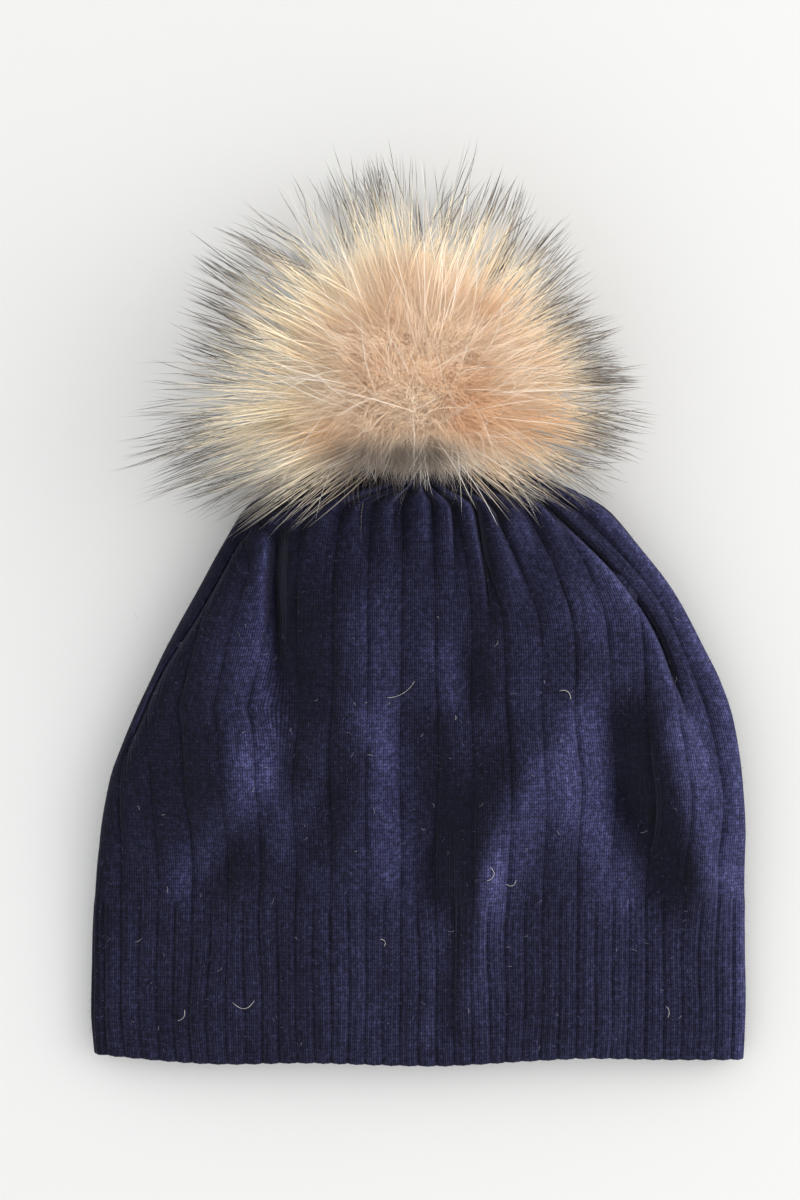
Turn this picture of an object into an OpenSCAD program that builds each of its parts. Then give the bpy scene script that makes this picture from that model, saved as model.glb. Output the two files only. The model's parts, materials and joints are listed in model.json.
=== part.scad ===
// Pom pom beanie, lying flat on its back as on a table.
// The rib brim and knit body are one soft tube drawn together at the crown, where a press stud
// holds a detachable fur pom. +Y runs from the brim to the pom, +Z is up, and the origin is on
// the table under the middle of the whole hat.

/* [Hat] */
// Width of the hat laid flat
hat_w = 221; // [200:1:240]
// Length from the hem to the middle of the crown
hat_len = 204; // [190:1:215]
// Length of the fine rib brim
brim_len = 54; // [40:1:65]
// Height of the hat laid flat, at its fullest
hat_h = 28; // [24:1:32]
// Thickness of the knit
ply = 2.6; // [2:0.1:3]

/* [Ribs] */
// Ribs round the brim
brim_ribs = 76; // [60:2:80]
// Ribs round the body
body_ribs = 38; // [30:2:40]
// Depth of the grooves between ribs
groove_depth = 0.8; // [0.3:0.1:1]

/* [Crown] */
// Radius of the gathered crown
crown_r = 12; // [11:0.5:14]
// Angle at which the crown and the pom point up from the table
pom_tilt = 41; // [36:1:44]

/* [Press stud] */
// Radius of the stud's flange
flange_r = 6.2; // [5.8:0.1:6.4]
// Radius of the stud's head
head_r = 3.9; // [3.7:0.05:4]

/* [Pom] */
// Radius of the fur, across its height
fur_r = 50; // [46:1:54]
// Width of the fur as a share of its height
fur_stretch = 1.24; // [1:0.02:1.3]
// Radius of the stuffed pelt ball
pelt_r = 22; // [20:0.5:24]

/* [Hidden] */

navy = [0.12, 0.12, 0.24];
cream = [0.86, 0.74, 0.56];
fawn = [0.45, 0.34, 0.25];
hide = [0.80, 0.72, 0.62];
nickel = [0.75, 0.75, 0.76];
taupe = [0.30, 0.26, 0.24];
felt = [0.2, 0.2, 0.3];
ivory = [0.9, 0.9, 0.88];
wadding = [0.95, 0.95, 0.93];

// Smoothness of the round metal and pom pieces
$fn = 64;
// Gap between pieces that lie against each other and are not fastened
lay_gap = 0.05;

// Heights above the crown's outer face, along the pom's own axis
patch_t = 1.2;
thread_r = 0.7;
flange_t = 0.9;
post_r = 2.2;
post_bore_r = 1.5;
eyelet_r = 6;
plate_t = 0.7;
knit_hole_r = 2.6;
stud_bore_r = post_r + 0.05;
neck_r = head_r - 0.7;
neck_top = 2;
head_top = 3.6;
socket_low = flange_t + 0.4;
socket_r = 6.8;
socket_mouth_r = head_r + 0.5;
groove_low = 1.9;
groove_high = 3.1;
groove_r = 6;
socket_roof_low = 4.2;
socket_top = 5;
wire_r = 0.35;
spring_r = head_r + 0.35 + wire_r;
disc_t = 1.4;
disc_r = 13;
disc_top = socket_top + disc_t;
cap_top = disc_top + plate_t;
knot_r = 2;
knot_w = 4.8;
pivot_h = cap_top + 0.4 + knot_r;
cord_r = 1.2;
button_low = pivot_h + 9;
button_t = 1.8;
button_r = 5.5;
pelt_t = 1.4;
pelt_mouth_r = 4.5;
pelt_mid = pivot_h + 2.5 + pelt_r;
underfur_r = pelt_r + 11;
underfur_mid = pelt_mid + 6;
fur_mid = 46;
fur_t = 3;
fur_base = 10.8;
fur_mouth_r = 14.5;
underfur_base = fur_base + fur_t + 0.2;

// Where the crown is, so that the fur just clears the table
table_gap = 0.2;
crown_z = fur_r + table_gap - fur_mid * sin(pom_tilt);
total_len = hat_len + fur_mid * cos(pom_tilt) + fur_r;
hem_y = -total_len / 2;
crown_y = hem_y + hat_len;

// The body's stations from the brim to the crown. Each row is the share of the way up, the share
// of the full half width, the share of the full half height, the share of the crown's tilt, how
// round the outline is, how far the inside face is set back, and the share of the crown's lift.
crown_share = crown_r / (hat_w / 2);
STATIONS = [
    [0, 1, 0.54, 0, 0, 0, 0],
    [0.27, 0.975, 0.79, 0, 0, 0, 0],
    [0.56, 0.86, 0.93, 0, 0, 0, 0],
    [0.74, 0.715, 1, 0.12, 0.1, 0, 0],
    [0.86, 0.57, 1.03, 0.38, 0.3, 0.2, 0.12],
    [0.933, 0.443, 1, 0.66, 0.55, 0.5, 0.44],
    [0.977, 0.28, 0.93, 0.88, 0.8, 0.85, 0.75],
    [1, crown_share, 2 * crown_r / hat_h, 1, 1, 1, 1]
];
// Rings between one station and the next
STEPS = 2;
// Points across each rib: two shoulders and a groove
RIB_POINTS = [0.16, 0.84, 1];

// A smooth curve through four neighbours, at t from the second to the third
function smooth(a, b, c, d, t) =
    b + (c - a) * t / 2 + (a - 2.5 * b + 2 * c - d / 2) * t * t
    + (1.5 * b - a / 2 - 1.5 * c + d / 2) * t * t * t;
function station(i) = STATIONS[min(max(i, 0), len(STATIONS) - 1)];
function between(i, t) =
    [for (k = [0:6]) smooth(station(i - 1)[k], station(i)[k], station(i + 1)[k],
        station(i + 2)[k], t)];
BODY_RINGS = [for (i = [0:len(STATIONS) - 2], s = [0:STEPS - 1]) between(i, s / STEPS),
    station(len(STATIONS) - 1)];

// The angle round the flattened tube at share a of its circumference
EVEN = 0.7;
function tube_angle(a) =
    let (half = a < 0.5 ? 0 : 180)
    let (b = a < 0.5 ? a : a - 0.5)
    half + (1 - EVEN) * 360 * b + EVEN * acos(1 - 4 * min(b, 0.5));

// A point of a ring's outline, before it is placed: across, and up from the ring's middle
FLAT_POWER = 0.55;
BOTTOM_FILL = 0.3;
function outline(angle, half_w, half_h, round_share) =
    let (power = FLAT_POWER + (1 - FLAT_POWER) * round_share)
    let (bulge = pow(abs(sin(angle)), power))
    let (fill = 1 + BOTTOM_FILL * (1 - round_share))
    [half_w * cos(angle), half_h * (angle <= 180 ? bulge : -min(1, fill * bulge))];

// One ring of the body; inset moves it inwards, and ribs cut its grooves on the upper side
function body_ring(row, inset, ribs, depth) =
    let (tilt = max(0, row[3]) * pom_tilt)
    let (half_w = row[1] * hat_w / 2 - inset)
    let (half_h = row[2] * hat_h / 2)
    let (back = inset * row[5])
    let (mid_y = hem_y + brim_len + row[0] * (hat_len - brim_len) - back * cos(tilt))
    let (mid_z = half_h + max(0, row[6]) * (crown_z - crown_r) - back * sin(tilt))
    [for (i = [0:ribs - 1], p = RIB_POINTS)
        let (angle = tube_angle((i + p) / ribs % 1))
        let (cut = p == 1 && angle > 1 && angle < 179 ? depth : 0)
        let (at = outline(angle, half_w - cut, half_h - inset - cut, max(0, row[4])))
        [at[0], mid_y - at[1] * sin(tilt), mid_z + at[1] * cos(tilt)]];

// Joins a list of rings, each of n points, into a closed surface with no ends
function ring_faces(rings, n) =
    [for (r = [0:rings - 1], i = [0:n - 1])
        let (a = r * n + i)
        let (b = r * n + (i + 1) % n)
        let (c = (r + 1) % rings * n + i)
        let (d = (r + 1) % rings * n + (i + 1) % n)
        each [[a, c, b], [b, c, d]]];
module ring_solid(rings) {
    polyhedron(points = [for (ring = rings, p = ring) p],
        faces = ring_faces(len(rings), len(rings[0])), convexity = 6);
}
function backwards(list) = [for (i = [len(list) - 1:-1:0]) list[i]];

// Places a piece on the pom's axis, with its own Z along that axis and 0 at the crown's face
module on_crown() {
    translate([0, crown_y, crown_z]) rotate([pom_tilt - 90, 0, 0]) children();
}
module disc(low, high, outer, inner) {
    translate([0, 0, low]) difference() {
        cylinder(h = high - low, r = outer);
        translate([0, 0, -1]) cylinder(h = high - low + 2, r = inner);
    }
}
module torus(height, ring_r, tube_r) {
    translate([0, 0, height]) rotate_extrude() translate([ring_r, 0]) circle(r = tube_r, $fn = 24);
}

// One ring of the brim, at a distance from the hem
HEM_ROUND = 1;
HEM_NARROWER = 1.5;
function brim_ring(y, inset, depth) =
    let (share = y / brim_len)
    let (row = STATIONS[0])
    let (half_w = hat_w / 2 - HEM_NARROWER * (1 - share) - inset)
    let (half_h = row[2] * hat_h / 2)
    [for (i = [0:brim_ribs - 1], p = RIB_POINTS)
        let (angle = tube_angle((i + p) / brim_ribs % 1))
        let (cut = p == 1 && angle > 1 && angle < 179 ? depth : 0)
        let (at = outline(angle, half_w - cut, half_h - inset - cut, 0))
        [at[0], hem_y + y, half_h + at[1]]];

// Fine rib band, from its rounded hem to the body
module rib_brim() {
    color(navy) ring_solid([
        brim_ring(brim_len, 0, groove_depth),
        brim_ring(brim_len / 2, 0, groove_depth),
        brim_ring(HEM_ROUND, 0, groove_depth),
        brim_ring(0, ply / 2 - HEM_ROUND / 2, 0),
        brim_ring(0, ply / 2 + HEM_ROUND / 2, 0),
        brim_ring(HEM_ROUND, ply, 0),
        brim_ring(brim_len, ply, 0)
    ]);
}

// Wide rib tube that closes at the crown, with a small hole there for the stud's post
function crown_hole_ring(depth) =
    [for (i = [0:body_ribs - 1], p = RIB_POINTS)
        let (angle = tube_angle((i + p) / body_ribs % 1))
        let (up = knit_hole_r * sin(angle))
        [knit_hole_r * cos(angle), crown_y - up * sin(pom_tilt) - depth * cos(pom_tilt),
            crown_z + up * cos(pom_tilt) - depth * sin(pom_tilt)]];
module knit_body() {
    last = len(BODY_RINGS) - 1;
    outside = [for (i = [0:last])
        body_ring(BODY_RINGS[i], 0, body_ribs, i == last ? 0 : groove_depth)];
    inside = [for (row = BODY_RINGS) body_ring(row, ply, body_ribs, 0)];
    color(navy) ring_solid(concat(backwards(inside), outside,
        [crown_hole_ring(0), crown_hole_ring(ply)]));
}

// Linked seam that stands up inside, along the middle of the back
seam_w = 2.6;
seam_h = 1.3;
SEAM_START = 3;
SEAM_LAST_RING = 11;
function seam_foot(row) =
    let (tilt = max(0, row[3]) * pom_tilt)
    let (down = row[2] * hat_h / 2 - ply - lay_gap)
    let (back = ply * row[5])
    let (mid_z = row[2] * hat_h / 2 + max(0, row[6]) * (crown_z - crown_r))
    [hem_y + brim_len + row[0] * (hat_len - brim_len) + down * sin(tilt) - back * cos(tilt),
        mid_z - down * cos(tilt) - back * sin(tilt)];
module back_seam() {
    start = [[hem_y + SEAM_START, ply + lay_gap]];
    path = concat(start, [for (i = [0:SEAM_LAST_RING]) seam_foot(BODY_RINGS[i])]);
    n = 4;
    points = [for (p = path)
        each [[-seam_w / 2, p[0], p[1]], [seam_w / 2, p[0], p[1]],
            [seam_w / 4, p[0], p[1] + seam_h], [-seam_w / 4, p[0], p[1] + seam_h]]];
    end = (len(path) - 1) * n;
    sides = [for (r = [0:len(path) - 2], i = [0:n - 1])
        let (a = r * n + i)
        let (b = r * n + (i + 1) % n)
        each [[a, b, a + n], [b, b + n, a + n]]];
    color(navy) polyhedron(points = points, convexity = 4,
        faces = concat([[0, 3, 2], [0, 2, 1]], sides,
            [[end, end + 1, end + 2], [end, end + 2, end + 3]]));
}

// Blank woven label, folded once, with its open end at the seam
label_w = 24;
label_len = 20;
label_t = 0.35;
label_y = 62;
module care_label() {
    fold_r = label_t * 1.5;
    fold_x = seam_w / 2 + label_w - fold_r;
    color("white") translate([0, hem_y + label_y, ply + lay_gap]) rotate([90, 0, 180])
        mirror([1, 0, 0]) linear_extrude(label_len) difference() {
            union() {
                translate([seam_w / 2, 0]) square([label_w - fold_r, 2 * fold_r]);
                translate([fold_x, fold_r]) circle(r = fold_r);
            }
            translate([seam_w / 2 - 1, label_t])
                square([label_w - fold_r + 1, 2 * (fold_r - label_t)]);
            translate([fold_x, fold_r]) circle(r = fold_r - label_t);
        }
}

// Thread drawn through the last course, knotted on the crown's face
module crown_gather_thread() {
    color(navy * 0.7) on_crown() torus(thread_r, crown_r - 2.2, thread_r);
}

// Felt patch inside the crown, behind the stud
module crown_patch() {
    color(felt) on_crown() disc(-ply - patch_t, -ply, crown_r - ply - 1, knit_hole_r);
}

// Eyelet whose post passes out through the patch and the knit, and into the stud
module stud_eyelet() {
    low = -ply - patch_t;
    color(nickel) on_crown() rotate_extrude() polygon([
        [post_bore_r, low - plate_t], [eyelet_r, low - plate_t], [eyelet_r, low],
        [post_r, low], [post_r, neck_top], [post_bore_r, neck_top]]);
}

// Stud on the outside of the crown, with a domed head over a narrower neck
module snap_stud() {
    color(nickel) on_crown() rotate_extrude() polygon([
        [stud_bore_r, 0], [flange_r, 0], [flange_r, flange_t * 0.6],
        [flange_r - 0.4, flange_t], [neck_r + 0.4, flange_t], [neck_r, flange_t + 0.4],
        [neck_r, neck_top - 0.2], [head_r, neck_top + 0.5], [head_r, neck_top + 1],
        [head_r - 0.6, head_top], [stud_bore_r, head_top]]);
}

// Wire ring in the socket's groove, which springs over the stud's head
module socket_spring() {
    color(nickel * 0.8) on_crown() torus((groove_low + groove_high) / 2, spring_r, wire_r);
}

// Socket under the pom, open towards the stud, with a groove for the wire ring
module snap_socket() {
    color(nickel) on_crown() rotate_extrude() polygon([
        [socket_mouth_r, socket_low], [socket_r - 0.4, socket_low],
        [socket_r, socket_low + 0.4], [socket_r, socket_top - 0.4],
        [socket_r - 0.4, socket_top], [stud_bore_r, socket_top],
        [stud_bore_r, socket_roof_low], [socket_mouth_r, socket_roof_low],
        [socket_mouth_r, groove_high], [groove_r, groove_high], [groove_r, groove_low],
        [socket_mouth_r, groove_low]]);
}

// Cap behind the base disc, whose post is spread inside the socket's roof
module socket_cap() {
    color(nickel) on_crown() rotate_extrude() polygon([
        [post_bore_r, socket_roof_low], [post_r, socket_roof_low], [post_r, disc_top],
        [eyelet_r, disc_top], [eyelet_r, cap_top - 0.3], [eyelet_r - 0.4, cap_top],
        [post_bore_r, cap_top]]);
}

// Leather disc that carries the socket and covers the pom's foot
module pom_base_disc() {
    color(taupe) on_crown() disc(socket_top, disc_top, disc_r, knit_hole_r);
}

// Cord between the base disc and the ball: a barrel knot across it that the pom nods on, and
// its stem
module pom_shank_cord() {
    color(navy) on_crown() translate([0, 0, pivot_h]) union() {
        rotate([0, 90, 0]) cylinder(h = knot_w, r = knot_r, center = true);
        cylinder(h = button_low - pivot_h, r = cord_r);
    }
}

// Button inside the stuffing, which the cord is tied to
module anchor_button() {
    color(ivory) on_crown() translate([0, 0, button_low]) rotate_extrude()
        polygon([[0, 0], [button_r - 0.5, 0], [button_r, 0.5], [button_r, button_t - 0.5],
            [button_r - 0.5, button_t], [0, button_t]]);
}

// Fibre ball, with room for the button and the cord
module pom_stuffing() {
    color(wadding) on_crown() difference() {
        translate([0, 0, pelt_mid]) sphere(r = pelt_r - pelt_t - lay_gap);
        cylinder(h = button_low, r = cord_r + lay_gap);
        translate([0, 0, button_low - lay_gap])
            cylinder(h = button_t + 2 * lay_gap, r = button_r + lay_gap);
    }
}

// Skin of the pom, drawn round the stuffing with its mouth towards the hat
module pom_pelt() {
    color(hide) on_crown() difference() {
        translate([0, 0, pelt_mid]) sphere(r = pelt_r);
        translate([0, 0, pelt_mid]) sphere(r = pelt_r - pelt_t);
        cylinder(h = pelt_mid, r = pelt_mouth_r);
    }
}

// Thread that closes the pelt's mouth round the cord
module pelt_draw_thread() {
    draw_r = 0.5;
    color(cream * 0.8) on_crown()
        torus(pelt_mid - pelt_r + draw_r, pelt_mouth_r - 1.2, draw_r);
}

// Dense cream fur next to the pelt
module pom_underfur() {
    color(cream) on_crown() difference() {
        translate([0, 0, underfur_mid]) sphere(r = underfur_r);
        translate([0, 0, pelt_mid]) sphere(r = pelt_r + lay_gap);
        translate([0, 0, underfur_base - underfur_r])
            cylinder(h = underfur_r, r = 2 * underfur_r);
        cylinder(h = pelt_mid, r = pelt_mouth_r + 6);
    }
}

// Outer fur, wider than it is high because it lies against the table; hair is mostly air, so it
// is a thin shell at the place where the hair tips meet, closed below except round the pelt's mouth
module fur_form(outer_r, low) {
    intersection() {
        translate([0, 0, fur_mid]) scale([fur_stretch, 1, 1]) sphere(r = outer_r);
        translate([0, 0, low]) cylinder(h = 3 * outer_r, r = 3 * outer_r);
    }
}
module pom_guard_hair() {
    color(fawn) on_crown() difference() {
        fur_form(fur_r, fur_base);
        fur_form(fur_r - fur_t, fur_base + fur_t);
        cylinder(h = fur_mid, r = fur_mouth_r);
    }
}

rib_brim();
knit_body();
back_seam();
care_label();
crown_gather_thread();
crown_patch();
stud_eyelet();
snap_stud();
socket_spring();
snap_socket();
socket_cap();
pom_base_disc();
pom_shank_cord();
anchor_button();
pom_stuffing();
pom_pelt();
pelt_draw_thread();
pom_underfur();
pom_guard_hair();
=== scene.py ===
"""Looks of the pom pom beanie: a rib-knit hat lying flat, with a fur pom, seen from straight above.

Lengths are in millimetres until a mesh is made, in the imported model's own frame: +X across the hat,
+Y from the hem to the pom, +Z up from the table.
"""
import json
import math

import bpy
import numpy as np
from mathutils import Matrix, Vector


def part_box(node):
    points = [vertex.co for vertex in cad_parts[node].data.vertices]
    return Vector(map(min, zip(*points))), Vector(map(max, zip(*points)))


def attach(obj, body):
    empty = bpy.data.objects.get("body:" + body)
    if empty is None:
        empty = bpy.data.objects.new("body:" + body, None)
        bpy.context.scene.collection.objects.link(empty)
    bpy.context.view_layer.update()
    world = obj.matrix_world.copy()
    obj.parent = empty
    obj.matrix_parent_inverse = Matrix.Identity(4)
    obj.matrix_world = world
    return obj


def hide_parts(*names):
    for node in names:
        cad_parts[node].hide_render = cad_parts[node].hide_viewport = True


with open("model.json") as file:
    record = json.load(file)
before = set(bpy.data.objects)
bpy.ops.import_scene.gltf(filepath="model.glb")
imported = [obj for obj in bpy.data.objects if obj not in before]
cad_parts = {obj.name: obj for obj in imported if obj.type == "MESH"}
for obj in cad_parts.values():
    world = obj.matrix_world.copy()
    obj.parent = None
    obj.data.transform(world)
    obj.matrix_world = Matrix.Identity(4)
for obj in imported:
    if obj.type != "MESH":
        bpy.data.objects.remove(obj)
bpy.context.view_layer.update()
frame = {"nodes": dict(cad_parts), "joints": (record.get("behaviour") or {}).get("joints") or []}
MM = 0.001
rng = np.random.default_rng(7)


# ---- Places, all from the frame -------------------------------------------------------------

def box_mm(node):
    """A CAD node's lowest and highest corners, in millimetres."""
    low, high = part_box(node)
    return np.array(low) / MM, np.array(high) / MM


def joint(name):
    return next(j for j in frame["joints"] if j["name"] == name)


HEM_Y = box_mm("rib_brim")[0][1]
BRIM_LEN = box_mm("rib_brim")[1][1] - HEM_Y
CROWN = np.array(joint("pom_spin")["pos_m"]) / MM
AXIS = np.array(joint("pom_spin")["axis"], float)
ACROSS = np.array([1.0, 0.0, 0.0])
UPHILL = np.cross(ACROSS, AXIS)
HAT_LEN = CROWN[1] - HEM_Y
PIVOT = np.array(joint("pom_nod")["pos_m"]) / MM
PELT_LOW, PELT_HIGH = box_mm("pom_pelt")
PELT_MID = (PELT_LOW + PELT_HIGH) / 2
PELT_R = (PELT_HIGH[0] - PELT_LOW[0]) / 2


def crown_place(across, up, along):
    """A point in the crown's own directions: across, up its face, and out along the pom's axis."""
    return CROWN + np.multiply.outer(across, ACROSS) + np.multiply.outer(up, UPHILL) \
        + np.multiply.outer(along, AXIS)


def in_crown(points):
    """The same three numbers for points in the frame."""
    gap = points - CROWN
    return gap @ ACROSS, gap @ UPHILL, gap @ AXIS


def along_of(point):
    """How far a point lies from the crown along the pom's axis."""
    return float(in_crown(point[None])[2][0])


# ---- Small tools ------------------------------------------------------------------------------

def smooth_step(low, high, x):
    t = np.clip((np.asarray(x, float) - low) / (high - low), 0.0, 1.0)
    return t * t * (3.0 - 2.0 * t)


def through(knots, x):
    """A smooth curve through (x, y) knots, without overshoot."""
    kx, ky = np.array(knots, float).T
    slope = np.diff(ky) / np.diff(kx)
    tangent = np.zeros_like(ky)
    product = slope[:-1] * slope[1:]
    total = slope[:-1] + slope[1:]
    tangent[1:-1] = np.where(product > 0, 2 * product / np.where(product > 0, total, 1.0), 0.0)
    tangent[0], tangent[-1] = slope[0], slope[-1]
    x = np.clip(np.asarray(x, float), kx[0], kx[-1])
    i = np.clip(np.searchsorted(kx, x) - 1, 0, len(kx) - 2)
    h = kx[i + 1] - kx[i]
    t = (x - kx[i]) / h
    return ((1 + 2 * t) * (1 - t) ** 2 * ky[i] + t * (1 - t) ** 2 * h * tangent[i]
            + t * t * (3 - 2 * t) * ky[i + 1] + t * t * (t - 1) * h * tangent[i + 1])


def blurred(rows, sigma):
    """Each row of a grid that closes on itself, blurred along it. sigma is in columns."""
    n = rows.shape[1]
    freq = np.fft.rfftfreq(n)
    gain = np.exp(-2.0 * (math.pi * freq * sigma) ** 2)
    shape = (1, -1) + (1,) * (rows.ndim - 2)
    return np.fft.irfft(np.fft.rfft(rows, axis=1) * gain.reshape(shape), n=n, axis=1)


def unit(v):
    return v / np.maximum(np.linalg.norm(v, axis=-1, keepdims=True), 1e-12)


def ripples(points, size, seed, waves=14):
    """Smooth random field of about -1 to 1 whose features are about size millimetres."""
    own = np.random.default_rng(seed)
    way = unit(own.normal(size=(waves, 3))) * (2 * math.pi / size) * own.uniform(0.6, 1.5, (waves, 1))
    phase = own.uniform(0, 2 * math.pi, waves)
    return np.sin(points @ way.T + phase).sum(-1) / math.sqrt(waves)


def new_mesh(name, points_mm, corners, sizes):
    """A mesh object from points in millimetres and a flat list of face corners."""
    mesh = bpy.data.meshes.new(name)
    mesh.vertices.add(len(points_mm))
    mesh.vertices.foreach_set("co", (np.asarray(points_mm) * MM).astype(np.float32).ravel())
    mesh.loops.add(len(corners))
    mesh.loops.foreach_set("vertex_index", np.asarray(corners, np.int32))
    starts = np.concatenate([[0], np.cumsum(sizes)[:-1]]).astype(np.int32)
    mesh.polygons.add(len(sizes))
    mesh.polygons.foreach_set("loop_start", starts)
    mesh.polygons.foreach_set("loop_total", np.asarray(sizes, np.int32))
    mesh.update(calc_edges=True)
    mesh.polygons.foreach_set("use_smooth", np.ones(len(mesh.polygons), bool))
    obj = bpy.data.objects.new(name, mesh)
    bpy.context.scene.collection.objects.link(obj)
    return obj


def give_uv(obj, name, pairs):
    layer = obj.data.uv_layers.new(name=name)
    layer.data.foreach_set("uv", np.asarray(pairs, np.float32).ravel())


def give_values(obj, name, values):
    """A named value at each of the mesh's points, for its material."""
    layer = obj.data.attributes.new(name, "FLOAT", "POINT")
    layer.data.foreach_set("value", np.asarray(values, np.float32).ravel())


def wear(obj, material, body):
    obj.data.materials.append(material)
    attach(obj, body)
    return obj


# ---- Camera, floor and light ------------------------------------------------------------------

VIEW_LONG = 0.4062
LENS = 90.0
camera_data = bpy.data.cameras.new("camera")
camera_data.lens = LENS
camera_data.sensor_width = 36.0
camera_data.clip_start = 0.05
camera = bpy.data.objects.new("camera", camera_data)
camera.location = (-0.0064, 0.0107, 0.010 + VIEW_LONG * LENS / 36.0)
bpy.context.scene.collection.objects.link(camera)
bpy.context.scene.camera = camera
bpy.context.scene.view_settings.view_transform = "Standard"


class Nodes:
    """Short calls for building a material's node tree."""

    def __init__(self, name):
        self.material = bpy.data.materials.new(name)
        self.material.use_nodes = True
        self.tree = self.material.node_tree
        self.shader = self.tree.nodes["Principled BSDF"]

    def add(self, kind, **settings):
        node = self.tree.nodes.new(kind)
        for key, value in settings.items():
            setattr(node, key, value)
        return node

    def join(self, source, target):
        self.tree.links.new(source, target)

    def math(self, operation, *values, clamp=False):
        node = self.add("ShaderNodeMath", operation=operation, use_clamp=clamp)
        for i, value in enumerate(values):
            if isinstance(value, (int, float)):
                node.inputs[i].default_value = value
            else:
                self.join(value, node.inputs[i])
        return node.outputs[0]

    def value(self, name):
        return self.add("ShaderNodeAttribute", attribute_name=name).outputs["Fac"]

    def place(self):
        return self.add("ShaderNodeTexCoord").outputs["Object"]

    def place_x(self):
        parts = self.add("ShaderNodeSeparateXYZ")
        self.join(self.place(), parts.inputs[0])
        return parts.outputs[0]

    def noise(self, vector, scale, detail=3.0, rough=0.55):
        node = self.add("ShaderNodeTexNoise")
        node.inputs["Scale"].default_value = scale
        node.inputs["Detail"].default_value = detail
        node.inputs["Roughness"].default_value = rough
        self.join(vector, node.inputs["Vector"])
        return node.outputs["Fac"]

    def ramp(self, value, stops):
        node = self.add("ShaderNodeValToRGB")
        ramp = node.color_ramp
        while len(ramp.elements) < len(stops):
            ramp.elements.new(0.5)
        for element, (at, colour) in zip(ramp.elements, stops):
            element.position = at
            element.color = (*colour, 1.0)
        self.join(value, node.inputs[0])
        return node.outputs["Color"]

    def mix(self, share, first, second, blend="MIX"):
        node = self.add("ShaderNodeMix", data_type="RGBA", blend_type=blend)
        for socket, value in ((node.inputs[0], share), (node.inputs[6], first),
                              (node.inputs[7], second)):
            if isinstance(value, tuple):
                socket.default_value = (*value, 1.0)
            elif isinstance(value, (int, float)):
                socket.default_value = value
            else:
                self.join(value, socket)
        return node.outputs[2]

    def colour(self, value):
        self.join(value, self.shader.inputs["Base Color"])

    def bump(self, height, distance_mm, strength=1.0):
        node = self.add("ShaderNodeBump")
        node.inputs["Strength"].default_value = strength
        node.inputs["Distance"].default_value = distance_mm * MM
        self.join(height, node.inputs["Height"])
        self.join(node.outputs[0], self.shader.inputs["Normal"])

    def set(self, **sockets):
        for name, value in sockets.items():
            self.shader.inputs[name.replace("_", " ")].default_value = value


def srgb(r, g, b):
    """Linear colour of an everyday 0-255 colour."""
    def linear(c):
        c = c / 255
        return c / 12.92 if c <= 0.04045 else ((c + 0.055) / 1.055) ** 2.4
    return (linear(r), linear(g), linear(b))


floor_mesh = bpy.data.meshes.new("floor")
floor_mesh.from_pydata([(-3, -3, 0), (3, -3, 0), (3, 3, 0), (-3, 3, 0)], [], [(0, 1, 2, 3)])
floor = bpy.data.objects.new("floor", floor_mesh)
bpy.context.scene.collection.objects.link(floor)
floor_look = Nodes("floor_paint")
floor_look.set(Roughness=0.9, Base_Color=(0.515, 0.512, 0.495, 1.0))
floor.data.materials.append(floor_look.material)

world = bpy.data.worlds.new("world")
world.use_nodes = True
world.node_tree.nodes["Background"].inputs["Color"].default_value = (0.96, 0.97, 1.0, 1.0)
world.node_tree.nodes["Background"].inputs["Strength"].default_value = 1.60
bpy.context.scene.world = world


def soft_light(name, place, aim, size, power, colour):
    data = bpy.data.lights.new(name, "AREA")
    data.shape = "DISK"
    data.size = size
    data.energy = power
    data.color = colour
    lamp = bpy.data.objects.new(name, data)
    lamp.location = place
    lamp.rotation_mode = "QUATERNION"
    lamp.rotation_quaternion = (Vector(place) - Vector(aim)).to_track_quat("Z", "Y")
    bpy.context.scene.collection.objects.link(lamp)


soft_light("window", (1.35, 0.32, 0.72), (0, 0, 0), 1.7, 16.5, (1.0, 0.985, 0.96))


# ---- The hat's shape ----------------------------------------------------------------------------

GIRTH = 440.0                 # the knit tube's way round, unstretched
PLY = 2.4                     # thickness of the knit
WALES = 304                   # columns of stitches round the hat, taking four to a brim rib
COURSE = 1.12                 # height of one row of stitches
BODY_RIB = 8                  # seven knit wales and one purl
BRIM_RIB = 4                  # three knit wales and one purl
PER_WALE = 4                  # columns of the outer mesh in each wale
COLUMNS = WALES * PER_WALE
HALF_GIRTH = GIRTH / 2
LYING = 0.9                   # the knit's mean face above the table
WOBBLE = 0.45                 # how far the ribs stray from straight

# Distance from the hem, and how far the outline reaches to the left and right
LEFT_EDGE = [(0, 110.0), (16, 111.2), (40, 110.6), (67, 108.8), (94, 104.4), (107, 99.8),
             (118, 95.2), (128, 90.4), (138, 85.6), (158, 74.6), (175, 65.2), (185, 58.8),
             (194, 51.0), (206, 34.0)]
RIGHT_EDGE = [(0, 110.2), (16, 110.8), (40, 110.4), (74, 110.4), (94, 109.2), (114, 106.2),
              (128, 101.6), (138, 96.6), (158, 85.7), (175, 72.6), (185, 63.6), (194, 52.5),
              (206, 34.0)]
# Distance from the hem, and the height of the flattened tube
FULLNESS = [(0, 13.0), (30, 14.5), (60, 18.0), (95, 23.0), (138, 26.0), (165, 28.0), (206, 27.0)]
# Distance across, and how far the hem curves towards the wearer's face
HEM_CURVE = [(-110, -1.0), (-64, 1.9), (-40, 1.4), (4, 2.4), (40, 0.6), (58, -0.1), (80, 0.4),
             (110, 0.8)]
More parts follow.
